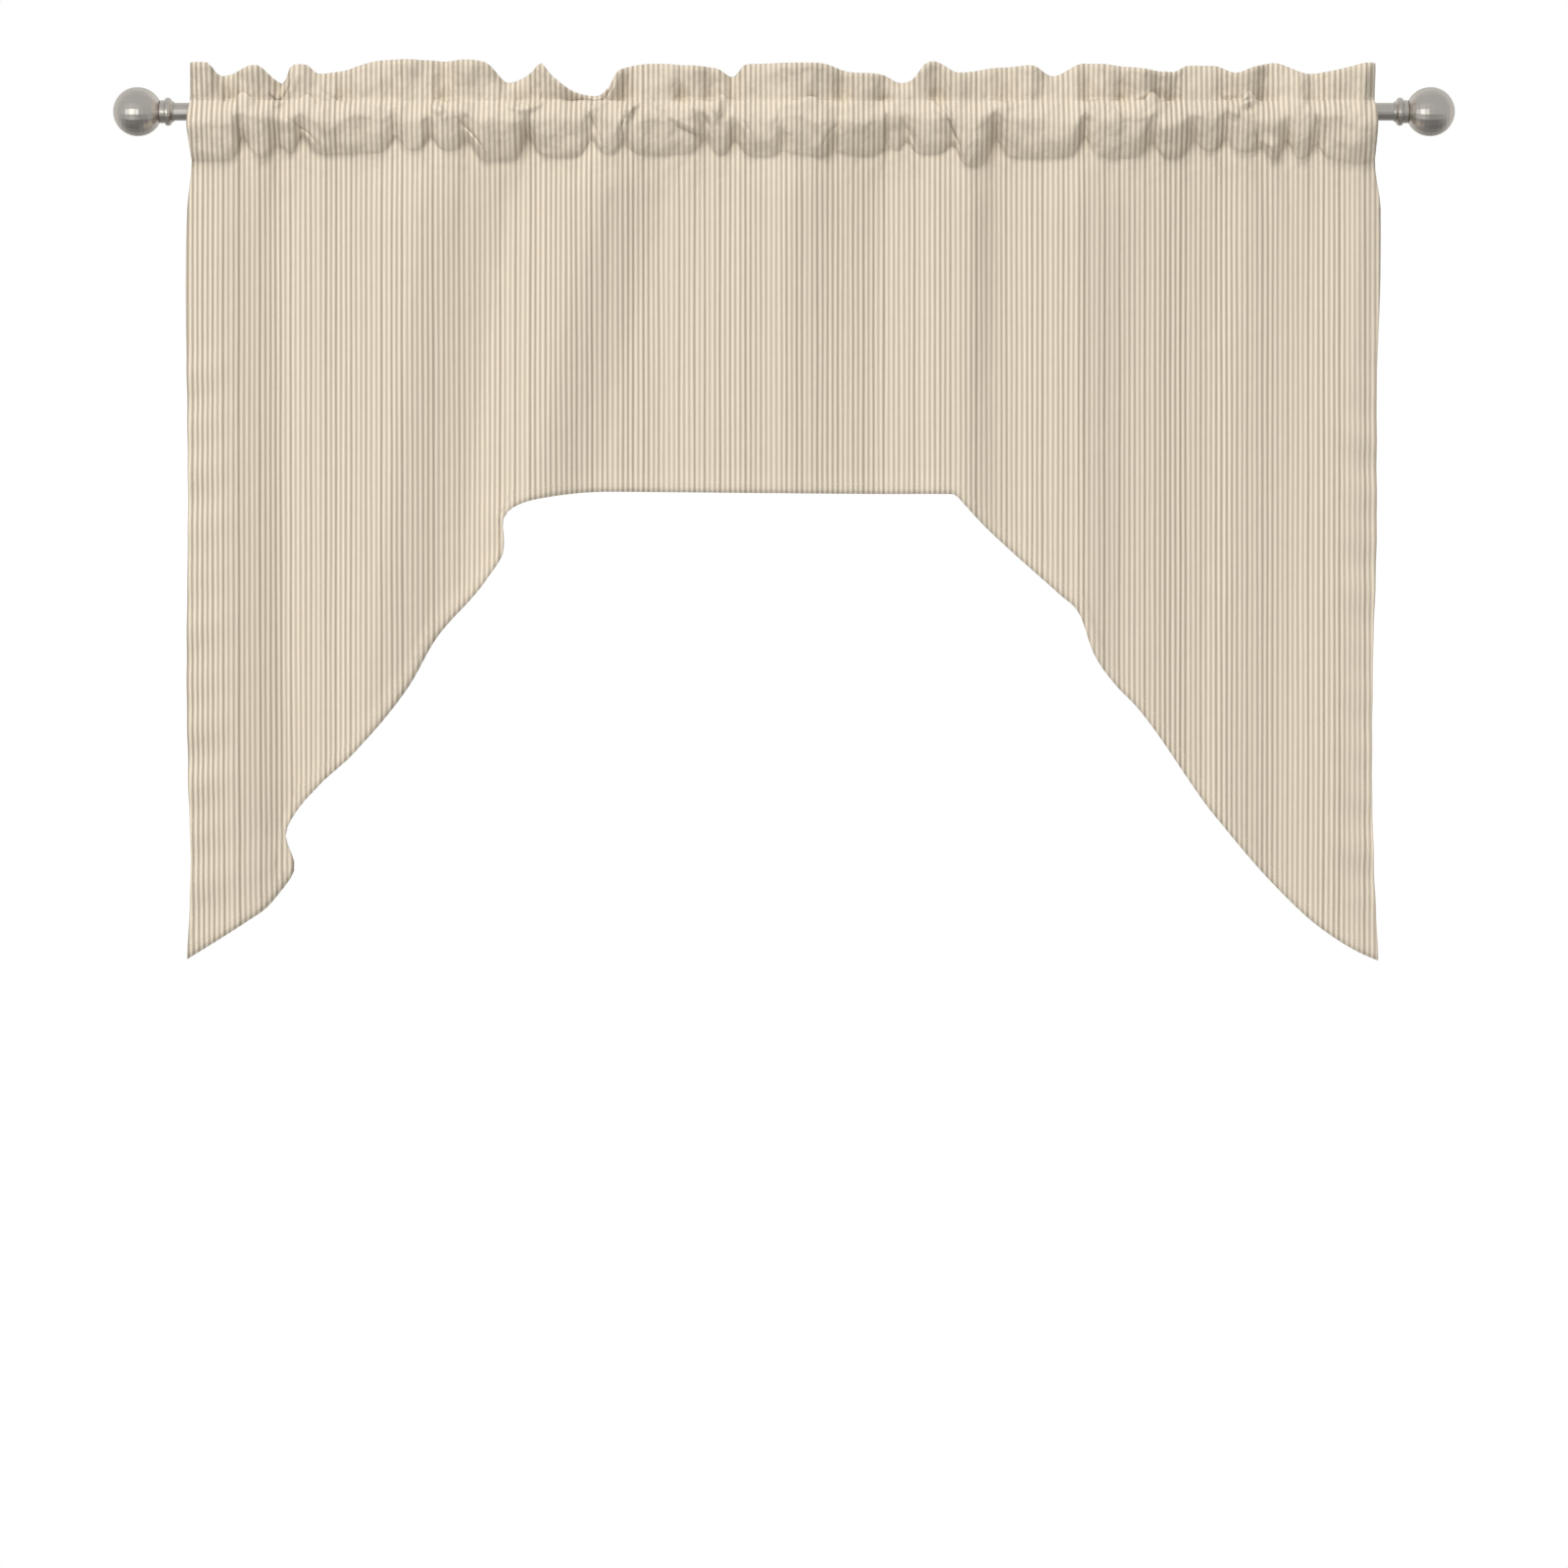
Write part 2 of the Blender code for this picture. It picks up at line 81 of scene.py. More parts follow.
# The hanging folds, and the small pleats and puckers that fade out below the seam
FOLD_SCALE = 1.4
SEAM_FOLD_SHARE = 0.60
SEAM_FOLD_RUN = 0.12
CREST_ROUND = 0.6
GATHER_DEPTH = 0.0018
GATHER_FADE = 0.045
CRUMPLE = 0.00070
PUCKER_DEPTH = 0.0011
PUCKER_BELOW = 0.0007
PUCKER_FADE = 0.014

# The side hems: how wide a strip has fine faces, how wide the hem and its ripples are, and
# the ripples' depth and wave lengths
SIDE_STRIP = 0.046
SIDE_HEM = 0.0095
SIDE_HEM_SHARE = 0.45
SIDE_REACH = 0.036
SIDE_DEPTH = 0.0027
SIDE_WAVES = (0.0083, 0.0137, 0.061)

# How strongly the foot of each tail curls back towards the wall
LEFT_CURL = 0.09
RIGHT_CURL = 0.14

# The stretches of the cloth, from the hem up the front, over the top and down the back, and
# the hem's own places within the first
SEAM, STITCHED, EDGE, TURNED, BACK_STITCHED, BACK_SEAM, END = range(1, 8)
HEM_TOP_AT = 0.03
HEM_STEP_AT = 0.045
HEM_STEP = 0.0025
HEM_FOLLOWS_EDGE = 0.55
HEADING_AT = SEAM - 0.06
HAIR = 1e-6

# The two lights: where each stands, where it points, its width and height, and its colour
KEY_LIGHT = ((-2.3, -7.4, 9.2), (0, 0, -0.3), (4.2, 4.2), (1.0, 0.985, 0.96))
LOW_LIGHT = ((-1.75, -2.9, -0.45), (0, 0, 0), (3.0, 1.5), (1.0, 0.99, 0.97))
FLOOR_HALF = 4.5

MILLIMETRE = 0.001


def in_metres(kind, rows, shares=0):
    """A table's rows, read as millimetres, apart from that many shares at each row's end."""
    count = len(rows[0]) - shares
    return [
        kind(*(round(number / 1000, 6) for number in row[:count]), *row[count:])
        for row in rows
    ]


# Each puff of the rod pocket, from left to right: where it ends at the seam below, how far
# that end leans over on the way up to the stitching, how far it reaches forward, how low
# it hangs, how high the seam rises at its right end, and the share of its width at which
# it hangs lowest.
Puff = namedtuple("Puff", "right lean reach hang rise lowest")
PUFFS = in_metres(Puff, (
    (-550, -12, 19, -51, -26, 0.45), (-516, 2, 18.5, -48, -34, 0.58),
    (-490, -12, 16.5, -44, -24, 0.4), (-395, 3, 20.5, -44, -27, 0.52),
    (-359, 1, 16, -41, -26, 0.55), (-322, -14, 19, -41, -30, 0.4),
    (-260, 2, 21, -50, -23, 0.38), (-195, -14, 20, -48, -30, 0.55),
    (-163, 16, 16.5, -46, -34, 0.42), (-80, -14, 17.5, -44, -28, 0.45),
    (-50, 6, 16.5, -45, -29, 0.5), (0, -4, 20.5, -47, -42, 0.62),
    (50, 10, 21, -46, -40, 0.55), (105, 0, 19, -44, -36, 0.6), (125, -8, 15, -44, -30, 0.5),
    (172, -15, 19, -44, -34, 0.45), (216, 6, 20, -57, -27, 0.36),
    (306, 4, 21, -49, -27, 0.44), (374, 10, 21, -48, -30, 0.5),
    (417, -6, 20, -47, -29, 0.5), (450, 0, 17, -41, -28, 0.5),
    (485, -12, 16.5, -42, -36, 0.4), (512, -6, 17.5, -50, -30, 0.5),
    (542, 0, 18, -49, -33, 0.45), (603, 0, 20, -53, -48, 0.68),
), shares=1)
LEFT_RISE = -0.0500

# The section of a full puff, from the seam round its belly to the stitching: how far
# forward it is as a share of the reach, and how high as a share of the pocket's height.
SECTION_BELOW = ((0.0, 0.0), (0.34, 0.07), (0.83, 0.42), (1.0, 0.60))
SECTION_ABOVE = ((1.0, 0.60), (1.02, 0.76), (0.58, 1.0), (0.0, 1.0))
SECTION_SMOOTH = ((1.0, 0.60), (1.0, 0.80), (0.20, 0.90), (0.0, 1.0))

# The share of the section where a dome starts, and how round the hollows between puffs are
DOME_FROM = 0.64
SCALLOP_ROUND = 0.0075
VALLEY_ROUND = 0.0031

# Domes that the pocket swells into in front of its stitching
Dome = namedtuple("Dome", "x height width")
DOMES = in_metres(Dome, (
    (-550, 12, 10), (-484, 11, 9), (-62, 13, 6), (30, 10, 12), (376, 13.5, 7.5),
    (475, 16, 6.5),
))

# Where the gathering pinches the stitching back towards the rod, and over what width. In
# between, the stitching stands forward and the pocket runs smoothly into the frill.
Pinch = namedtuple("Pinch", "x width")
PINCHES = in_metres(Pinch, (
    (-606, 8), (-563, 10), (-514, 10), (-448, 9), (-343, 10), (-265, 18), (-200, 16),
    (-160, 8), (-102, 10), (-73, 10), (-50, 8), (60, 9), (103, 10), (157, 9), (228, 12),
    (312, 10), (345, 8), (383, 8), (397, 8), (455, 12), (490, 9), (545, 10), (604, 8),
))

# The frill above the pocket: its height over the rod's axis, and how far its edge leans
# towards the wall.
Frill = namedtuple("Frill", "x top lean")
FRILLS = in_metres(Frill, (
    (-605, 47, -6), (-587, 46, -9), (-574, 34, 3), (-537, 43.5, -8), (-518, 30, 2),
    (-511, 27, 6), (-501, 44, -3), (-488, 45.5, 0), (-474, 36.5, 6), (-450, 39.5, 2),
    (-410, 49, -1), (-385, 50, -4), (-350, 49.5, 4), (-320, 49, -8), (-304, 47, -4),
    (-281, 28, 7), (-257, 37.5, -1), (-247, 46, -8), (-238, 35, -7), (-208, 16, 0),
    (-190, 14, 2), (-177, 22, -3), (-169, 38, -6), (-158, 43, -2), (-135, 46, 2),
    (-100, 44, -7), (-70, 42, -2), (-52, 34, 5), (-38, 46, 3), (0, 46, -4), (35, 45.5, -8),
    (73, 36.5, -3), (100, 35, -5), (120, 27, 6), (130, 29, 2), (146, 46, -7), (153, 48, -8),
    (178, 36.5, -2), (225, 43.5, 4), (253, 44, -2), (275, 34, 6), (307, 47, 2),
    (345, 43, -5), (397, 37, -8), (413, 44.5, 3), (440, 44, 1), (462, 36.5, -6),
    (482, 43, -8), (500, 47.5, 3), (535, 37, 5), (560, 39, -1), (602, 47, -5),
))

# The hanging folds, ridges and valleys in turn: where each crosses the seam and the hem,
# and its depth there. A ridge stands towards the room, at negative depth.
Fold = namedtuple("Fold", "x_top x_hem depth_top depth_hem")
FOLDS = in_metres(Fold, (
    (-606, -612, 1, -10), (-572, -568, -7, -8), (-520, -505, 4, 8), (-470, -490, -1, 2),
    (-358, -430, -13, -11), (-274, -335, 4, 5), (-186, -255, -14, -9), (-110, -190, 1, 2),
    (-75, -120, 1, 2), (4, -10, -10, -3), (102, 100, 5, 3), (188, 186, -9, -6),
    (216, 220, 2, 2), (294, 308, -14, -7), (365, 350, -2, 0), (438, 432, 2, 3),
    (461, 452, -3, -1), (530, 516, 2, 3), (578, 574, -4, -4), (604, 608, 1, -2),
))

# The hem as it hangs, from the tip of the left tail over the arch to the right tail
HemPoint = namedtuple("HemPoint", "x z")
HEM = in_metres(HemPoint, (
    (-610, -865), (-553.5, -828), (-530, -810), (-516, -785), (-508, -750), (-500, -717),
    (-477, -689), (-439, -656), (-381.5, -587), (-354, -538), (-304, -478.6),
    (-292.5, -458.7), (-288, -440), (-283, -420), (-276, -406), (-254.2, -396.5),
    (-180, -387.7), (0, -389.5), (172, -390.5), (184.5, -401.7), (201, -419),
    (282.4, -492.5), (301, -509), (321, -556), (343.7, -586.4), (364, -607), (447, -722),
    (514, -800), (548, -832), (586.6, -857.6), (606.7, -866.2),
))

# Where a ripple at the hem pushes the cloth sideways: its middle, the push, and how far
# it reaches across and up.
Ripple = namedtuple("Ripple", "x z push across up")
RIPPLES = in_metres(Ripple, (
    (-510, -773, 8.5, 50, 20), (-512, -735, -8, 50, 20), (-287, -449, 4, 30, 14),
    (-284, -414, -5, 30, 12),
))

# How far the two side edges sway off a straight line, by height
Sway = namedtuple("Sway", "z left right")
SWAYS = in_metres(Sway, (
    (-865, 0, 0), (-830, 2, -1.5), (-760, 3.5, -4.5), (-680, 1, -6), (-560, -1, -4.5),
    (-420, -0.5, 0), (-290, -2.5, 0.5), (-160, -5, 5), (-100, -4, 5.5), (-53, 0, 0),
    (-10, -3.5, 1.5), (12, -1, -1), (50, 0, -1),
))

# The waves that add up to the crumpling of the heading: how far each runs across and up
# for one radian, and where it starts
Crumple = namedtuple("Crumple", "along up start")
CRUMPLES = [Crumple(*row) for row in (
    (0.0047, 0.012, 0.3), (-0.0063, 0.01, 1.9), (0.0092, -0.0085, 4.1),
)]

# Short creases in the gathered heading, in millimetres from the rod's middle. Each runs
# from one point to another and bows out to its right. A groove is pressed in, or stands
# up where it is negative. A lip lifts the cloth on its right and drops it on its left.
Crease = namedtuple("Crease", "x0 z0 x1 z1 bow groove lip width")
CREASES = [Crease(*row) for row in (
    (-563, 18, -549, -26, 2, 2.4, 0.0, 3.2), (-524, 18, -515, 8, 0, 3.4, 0.0, 2.8),
    (-515, 8, -500, 34, 2, 3.4, 0.0, 2.8), (-506, -8, -470, -42, -5, 1.5, 1.2, 3.5),
    (-465, 6, -466, -16, 0, 1.4, 0.0, 3.0), (-472, 24, -446, 8, 3, 2.0, 1.2, 3.0),
    (-355, 12, -343, -6, 2, 2.8, 0.0, 2.8), (-332, -8, -300, -50, -3, 1.4, 1.6, 3.5),
    (-282, 14, -270, 3, 2, 2.4, 0.0, 3.0), (-270, 3, -255, 4, 2, 2.4, 0.6, 3.0),
    (-255, 4, -244, 18, 2, 2.6, 0.0, 3.0), (-226, 28, -192, 3, -3, 1.2, 1.4, 3.5),
    (-190, 3, -170, 38, 3, 2.6, 0.0, 3.2), (-205, 14, -182, -46, -2, 1.8, 1.0, 3.5),
    (-145, 14, -167, -30, 4, 3.4, 0.0, 3.0), (-143, 16, -118, -5, -3, 1.6, 0.8, 3.0),
    (-112, -10, -78, -24, 2, 1.2, -1.8, 3.5), (-94, 8, -73, -22, -4, 2.6, 0.8, 3.0),
    (-75, 17, -66, -17, -3, 3.0, 0.0, 3.0), (-43, -10, -27, -42, -3, 1.5, 0.8, 3.5),
    (56, -14, 38, -42, 3, 1.2, 0.0, 3.5), (58, 14, 62, 2, 0, 1.6, 0.0, 3.0),
    (104, -4, 104, -46, 0, 1.0, 1.4, 3.0), (118, -8, 136, -45, -3, 1.2, 0.6, 3.5),
    (152, 12, 184, -54, -4, 3.0, 1.4, 3.2), (218, 6, 252, 13, 3, 1.2, 0.6, 3.5),
    (308, 9, 347, -14, -7, 1.2, 1.0, 3.5), (340, 7, 372, 17, 1, -1.5, 0.0, 4.0),
    (372, 17, 392, 4, -1, -1.2, 0.8, 4.0), (384, 10, 367, -33, 2, 1.8, 0.0, 3.5),
    (418, -41, 450, -56, -2, 0.7, -0.8, 4.0), (446, 14, 458, 10, 1, 3.0, 0.0, 3.0),
    (464, 7, 480, 18, 2, 3.0, 0.0, 3.0), (448, 9, 461, -12, -2, 1.6, 0.0, 3.0),
    (470, 14, 480, -31, -2, -2.6, 0.0, 3.0), (475, -6, 484, -45, -1, 2.8, 0.0, 3.0),
    (486, -32, 508, -42, 2, 1.4, -1.0, 3.5), (530, 12, 548, -34, -3, 1.0, 0.6, 4.0),
    (-418, 10, -392, 4, 2, 0.8, 0.6, 4.0), (-12, 8, 20, 12, 3, 0.9, 0.5, 4.0),
)]
CREASE_DEPTH = 2.5
CREASE_WIDTH = 0.78
SHOULDER_SHARE = 0.85
SHOULDER_REACH = 2.0
OVER_ROD = 0.0085
BESIDE_CREASE = 1.15

# Short waves along the stitching, which add up to its puckers: how deep each is, its length
# for one radian, and where it starts
Wave = namedtuple("Wave", "share along start")
PUCKERS = [Wave(0.50, 0.00231, 1.3), Wave(0.34, 0.00149, 0.4), Wave(0.30, 0.00373, 2.2)]
STITCHES_AT_ONCE = 40


def blend(low, high, share):
    """The value that lies that share of the way from low to high."""
    return low + (high - low) * share


def eased(share):
    """The share with a gentle start and end."""
    share = np.clip(share, 0.0, 1.0)
    return share * share * (3 - 2 * share)


def smooth_curve(xs, ys):
    """A curve through the points that never swings past them, as a function of x."""
    xs = np.asarray(xs, float)
    ys = np.asarray(ys, float)
    steps = np.diff(xs)
    slopes = np.diff(ys) / steps
    tangents = np.zeros(len(xs))
    for i in range(1, len(xs) - 1):
        before, after = slopes[i - 1], slopes[i]
        if before * after > 0:
            w_before = 2 * steps[i] + steps[i - 1]
            w_after = steps[i] + 2 * steps[i - 1]
            tangents[i] = (w_before + w_after) / (w_before / before + w_after / after)

    def value(x):
        x = np.clip(x, xs[0], xs[-1])
        i = np.clip(np.searchsorted(xs, x) - 1, 0, len(steps) - 1)
        t = (x - xs[i]) / steps[i]
        rise = tangents[i] * t * (1 - t) ** 2 - tangents[i + 1] * t * t * (1 - t)
        return blend(ys[i], ys[i + 1], t * t * (3 - 2 * t)) + steps[i] * rise

    return value


def curve_of(rows, across, value):
    """The smooth curve of one named column of a table over another."""
    return smooth_curve([getattr(r, across) for r in rows], [getattr(r, value) for r in rows])


frill_top = curve_of(FRILLS, "x", "top")
frill_lean = curve_of(FRILLS, "x", "lean")
sway_left = curve_of(SWAYS, "z", "left")
sway_right = curve_of(SWAYS, "z", "right")


def hem_curve():
    """The hem as a function of the share of the cloth's width, giving x and z."""
    points = np.array(HEM)
    lengths = np.linalg.norm(np.diff(points, axis=0), axis=1)
    along_edge = np.concatenate([[0], np.cumsum(lengths)]) / lengths.sum()
    across = (points[:, 0] - points[0, 0]) / (points[-1, 0] - points[0, 0])
    share = blend(np.maximum.accumulate(across), along_edge, HEM_FOLLOWS_EDGE)
    return smooth_curve(share, points[:, 0]), smooth_curve(share, points[:, 1])


hem_x, hem_z = hem_curve()


def bezier(corners, t):
    """The points of a four-cornered curve at the given shares."""
    a, b, c, d = (np.array(corner) for corner in corners)
    t = t[:, None]
    return a * (1 - t) ** 3 + 3 * b * t * (1 - t) ** 2 + 3 * c * t * t * (1 - t) + d * t ** 3


def puff_section(above):
    """A full puff's section at even steps of its length, as curves of forward and up."""
    t = np.linspace(0, 1, 60)
    points = np.concatenate([bezier(SECTION_BELOW, t), bezier(above, t)[1:]])
    real = points * (PUFFS[0].reach, STITCH_HEIGHT - PUFFS[0].hang)
    along = np.concatenate([[0], np.cumsum(np.linalg.norm(np.diff(real, axis=0), axis=1))])
    along /= along[-1]
    return along, points[:, 0], points[:, 1]


PINCHED_SECTION = puff_section(SECTION_ABOVE)
SMOOTH_SECTION = puff_section(SECTION_SMOOTH)


def section_at(section, up_share):
    """How far forward and how far up a section has come at that share of its length."""
    along, forward, up = section
    return np.interp(up_share, along, forward), np.interp(up_share, along, up)


def puffs_at(x, up):
    """For each point at x, that share of the way up the pocket: the number of its puff, the
    share of the way across it and how far both its ends are."""
    ends = np.array([CLOTH_LEFT] + [puff.right for puff in PUFFS])
    leans = np.array([0.0] + [puff.lean for puff in PUFFS])
    ends = ends[None, :] + leans[None, :] * up[:, None]
    number = np.clip((x[:, None] > ends[:, 1:-1]).sum(axis=1), 0, len(PUFFS) - 1)
    rows = np.arange(len(x))
    left, right = ends[rows, number], ends[rows, number + 1]
    share = np.clip((x - left) / (right - left), 0.0, 1.0)
    lowest = np.array([puff.lowest for puff in PUFFS])[number]
    ends_away = (x - left, right - x)
    return number, share ** (math.log(0.5) / np.log(lowest)), ends_away


def swell(share, ends_away, rounding):
    """How full a puff is: 0 in a rounded hollow at its ends, rising to 1 at its middle."""
    before, after = (np.maximum(away, 0.0) / rounding for away in ends_away)
    hollow = (1 - np.exp(-before ** 2)) * (1 - np.exp(-after ** 2))
    return hollow * blend(0.80, 1.0, np.sin(math.pi * np.clip(share, 0.0, 1.0)))


def seam_height(x):
    """The height of the pocket's seam, which hangs in a scallop at each puff."""
    number, share, ends_away = puffs_at(x, np.zeros(len(x)))
    rises = np.array([LEFT_RISE] + [puff.rise for puff in PUFFS])
    hangs = np.array([puff.hang for puff in PUFFS])
    ends = blend(rises[number], rises[number + 1], share)
    return blend(ends, hangs[number], swell(share, ends_away, SCALLOP_ROUND))


def puff_middles():
    """The middle of each puff at the seam."""
    ends = [CLOTH_LEFT] + [puff.right for puff in PUFFS]
    return [(a + b) / 2 for a, b in zip(ends, ends[1:])]


full_reach = smooth_curve(puff_middles(), [puff.reach for puff in PUFFS])


def stand_forward(x):
    """How far forward the stitching stands at x, and that as a share of the most."""
    share = np.ones(len(x))
    for pinch in PINCHES:
        share *= 1 - np.exp(-((x - pinch.x) / pinch.width) ** 2)
    wave = np.sin(x / STAND_WAVE + 0.8 * np.sin(x / STAND_DRIFT))
    return STAND * share * (0.88 + 0.12 * wave), share


def pocket_reach(x, up):
    """How far the pocket's front stands out at that share of its height. The valleys
    between the puffs are deep at the seam and shallower, each by its own amount, towards
    the stitching."""
    number, share, ends_away = puffs_at(x, up)
    tight = blend(HOLLOW_AT_SEAM, ROD_CLEARANCE + VALLEY_CLEARANCE, eased(up / 0.50))
    depth = 0.55 + 0.45 * np.sin(2.4 * number + 3.0 * share)
    shallow = VALLEY_AT_STITCHING + VALLEY_VARIES * depth
    valley = blend(VALLEY_AT_SEAM, shallow, eased((up - 0.12) / 0.45))
    hollow = 1 - swell(share, ends_away, VALLEY_ROUND)
    return blend(FULLNESS * full_reach(x), tight, valley * hollow)


def fold_depth(x, down):
    """The depth of the hanging folds at x, that share of the way from seam to hem."""
    down = down[:, None]
    x_top, x_hem, depth_top, depth_hem = np.array(FOLDS).T
    crests = blend(x_top, x_hem, down)
    depths = blend(depth_top, depth_hem, down)
    depths *= FOLD_SCALE * blend(SEAM_FOLD_SHARE, 1.0, eased(down / SEAM_FOLD_RUN))
    number = np.clip((x[:, None] > crests).sum(axis=1) - 1, 0, len(FOLDS) - 2)
    rows = np.arange(len(x))
    left, right = crests[rows, number], crests[rows, number + 1]
    share = np.clip((x - left) / (right - left), 0.0, 1.0)
    share = blend(share, eased(share), CREST_ROUND)
    return blend(depths[rows, number], depths[rows, number + 1], share)


def gather_depth(x, below_seam):
    """The small pleats that start between the puffs and fade out down the cloth."""
    number, share, ends_away = puffs_at(x, np.zeros(len(x)))
    pleat = 1 - 2 * swell(share, ends_away, 2 * VALLEY_ROUND)
    return GATHER_DEPTH * pleat * np.exp(-below_seam / GATHER_FADE)


def seam_depth(x, below_seam=0.0):
    """The depth of folds and pleats together at the seam, or just below it."""
    return fold_depth(x, np.zeros(len(x))) + gather_depth(x, below_seam)


def pucker(x):
    """The small pleats that the stitching draws the cloth into."""
    total = np.zeros(len(x))
    for wave in PUCKERS:
        total += wave.share * np.sin(x / wave.along + wave.start)
    return total * (0.65 + 0.35 * np.sin(x / 0.031 + 0.8))


def crumple(x, z):
    """The slight, uneven crumpling of the gathered heading."""
    total = np.zeros(len(x))
    for along, up, start in CRUMPLES:
        first = np.sin(x / along + z / up + start)
        total += first * np.sin(x / (1.3 * up) - z / (1.6 * along) + start)
    return CRUMPLE * total


def side_ripple(x, z, share):
    """The shallow waves of the two stitched side hems, which start well below the rod."""
    left, right = (x - CLOTH_LEFT) / SIDE_REACH, (CLOTH_RIGHT - x) / SIDE_REACH
    near = np.exp(-np.maximum(left, 0.0) ** 2) + np.exp(-np.maximum(right, 0.0) ** 2)
    near *= eased((-0.20 - z) / 0.10)
    side = np.where(share < 0.5, 0.0, 1.9)
    slanted = z + 0.25 * np.abs(x)
    short, longer, longest = SIDE_WAVES
    wave = np.sin(slanted / short + side) + 0.5 * np.sin(slanted / longer + 2.1 * side + 0.7)
    wave *= 0.75 + 0.25 * np.sin(z / longest + side)
    return SIDE_DEPTH * near * wave


def tail_lean(x, z):
    """How far the foot of each tail has curled back towards the wall."""
    left = eased((-0.45 - x) / 0.06) * np.maximum(-0.36 - z, 0.0) ** 2
    right = eased((x - 0.44) / 0.06) * np.maximum(-0.60 - z, 0.0) ** 2
    return LEFT_CURL * left + RIGHT_CURL * right


def ripple_push(x, z):
    """How far the ripples at the hem move the cloth sideways."""
    total = np.zeros(len(x))
    for ripple in RIPPLES:
        away = ((x - ripple.x) / ripple.across) ** 2 + ((z - ripple.z) / ripple.up) ** 2
        total += ripple.push * np.exp(-away)
    return total


def crease_lines(x, z):
    """For each crease: its row, the points near it, how far they are from it in widths,
    the side that they are on, and the share of the way along it."""
    steps = np.linspace(0, 1, 61)
    for crease in CREASES:
        start = np.array((crease.x0, crease.z0)) * MILLIMETRE
        end = np.array((crease.x1, crease.z1)) * MILLIMETRE
        width = CREASE_WIDTH * crease.width * MILLIMETRE
        run = end - start
        length = np.linalg.norm(run)
        right = np.array((run[1], -run[0])) / length
        line = start + run * steps[:, None]
        line = line + right * (crease.bow * MILLIMETRE * 4 * steps * (1 - steps))[:, None]
        middle = (start + end) / 2
        near = np.hypot(x - middle[0], z - middle[1]) < length / 2 + 5 * width
        if not near.any():
            continue
        offsets = np.stack([x[near], z[near]], axis=1)[:, None, :] - line[None, :, :]
        distances = np.linalg.norm(offsets, axis=2)
        nearest = distances.argmin(axis=1)
        rows = np.arange(len(nearest))
        side = np.sign(offsets[rows, nearest] @ right)
        yield crease, near, distances[rows, nearest] / width, side, steps[nearest]


def crease_push(x, z):
    """How far the heading's creases press the cloth in at each point. Over the rod there
    is little room behind, so a crease is shallower there and its sides stand up more."""
    total = np.zeros(len(x))
    over_rod = np.exp(-(z / OVER_ROD) ** 2)
    for crease, near, away, side, along in crease_lines(x, z):
        fade = np.sin(math.pi * np.clip(along, 0.04, 0.96)) ** 0.5
        valley = np.exp(-1.5 * np.sqrt(away ** 2 + 0.07) + 0.40)
        lip = side * (1 - np.exp(-away / 0.35)) * np.exp(-0.8 * away)
        shoulders = SHOULDER_SHARE * np.exp(-(away / SHOULDER_REACH) ** 2)
        over = over_rod[near] * (crease.groove > 0)
        valley, shoulders = valley * (1 - 0.45 * over), shoulders * (1 + 0.9 * over)
        press = crease.groove * (valley - shoulders) - crease.lip * lip
        total[near] += CREASE_DEPTH * press * fade * MILLIMETRE
    return total


def by_a_crease(x, z):
    """Which points lie on or beside a crease, where the mesh has to be fine."""
    found = np.zeros(len(x), bool)
    for crease, near, away, side, along in crease_lines(x, z):
        found[np.flatnonzero(near)[away < BESIDE_CREASE]] = True
    return found


def hem_rise(share):
    """How far up a vertical line the hem's depth reaches where the edge is slanted."""
    step = 0.002
    before, after = np.maximum(share - step, 0.0), np.minimum(share + step, 1.0)
    run = hem_x(after) - hem_x(before)
    fall = hem_z(after) - hem_z(before)
    slant = np.hypot(run, fall) / np.maximum(np.abs(run), HAIR)
    return np.minimum(slant, 2.5)


def clear_of_rod(y, z):
    """The points pushed out from the rod's axis to where the cloth can lie."""
    away = np.maximum(np.hypot(y, z), HAIR)
    grow = np.maximum(ROD_CLEARANCE / away, 1.0)
    return y * grow, z * grow


def body_shape(share, x, v, hem_depth):
    """The hanging cloth below the seam."""
    top = seam_height(x)
    low_x, low_z = hem_x(share), hem_z(share)
    drop = top - low_z
    hem_up = hem_depth * hem_rise(share) / drop
    step_up = hem_up + HEM_STEP / drop
    in_step = (v - HEM_TOP_AT) / (HEM_STEP_AT - HEM_TOP_AT)
    rest = (v - HEM_STEP_AT) / (1 - HEM_STEP_AT)
    up = np.where(v < HEM_STEP_AT, blend(hem_up, step_up, in_step), blend(step_up, 1.0, rest))
    up = np.where(v < HEM_TOP_AT, hem_up * v / HEM_TOP_AT, up)
    across, z = blend(low_x, x, up), blend(low_z, top, up)
    below = top - z
    y = fold_depth(across, 1 - up) + gather_depth(x, below)
    y += PUCKER_BELOW * pucker(x + 0.011) * np.exp(-below / PUCKER_FADE)
    y += side_ripple(across, z, share) * eased(below / 0.05) + tail_lean(across, z)
    y += crease_push(across, z) * eased(below / 0.004)
    return across + ripple_push(across, z), y, z


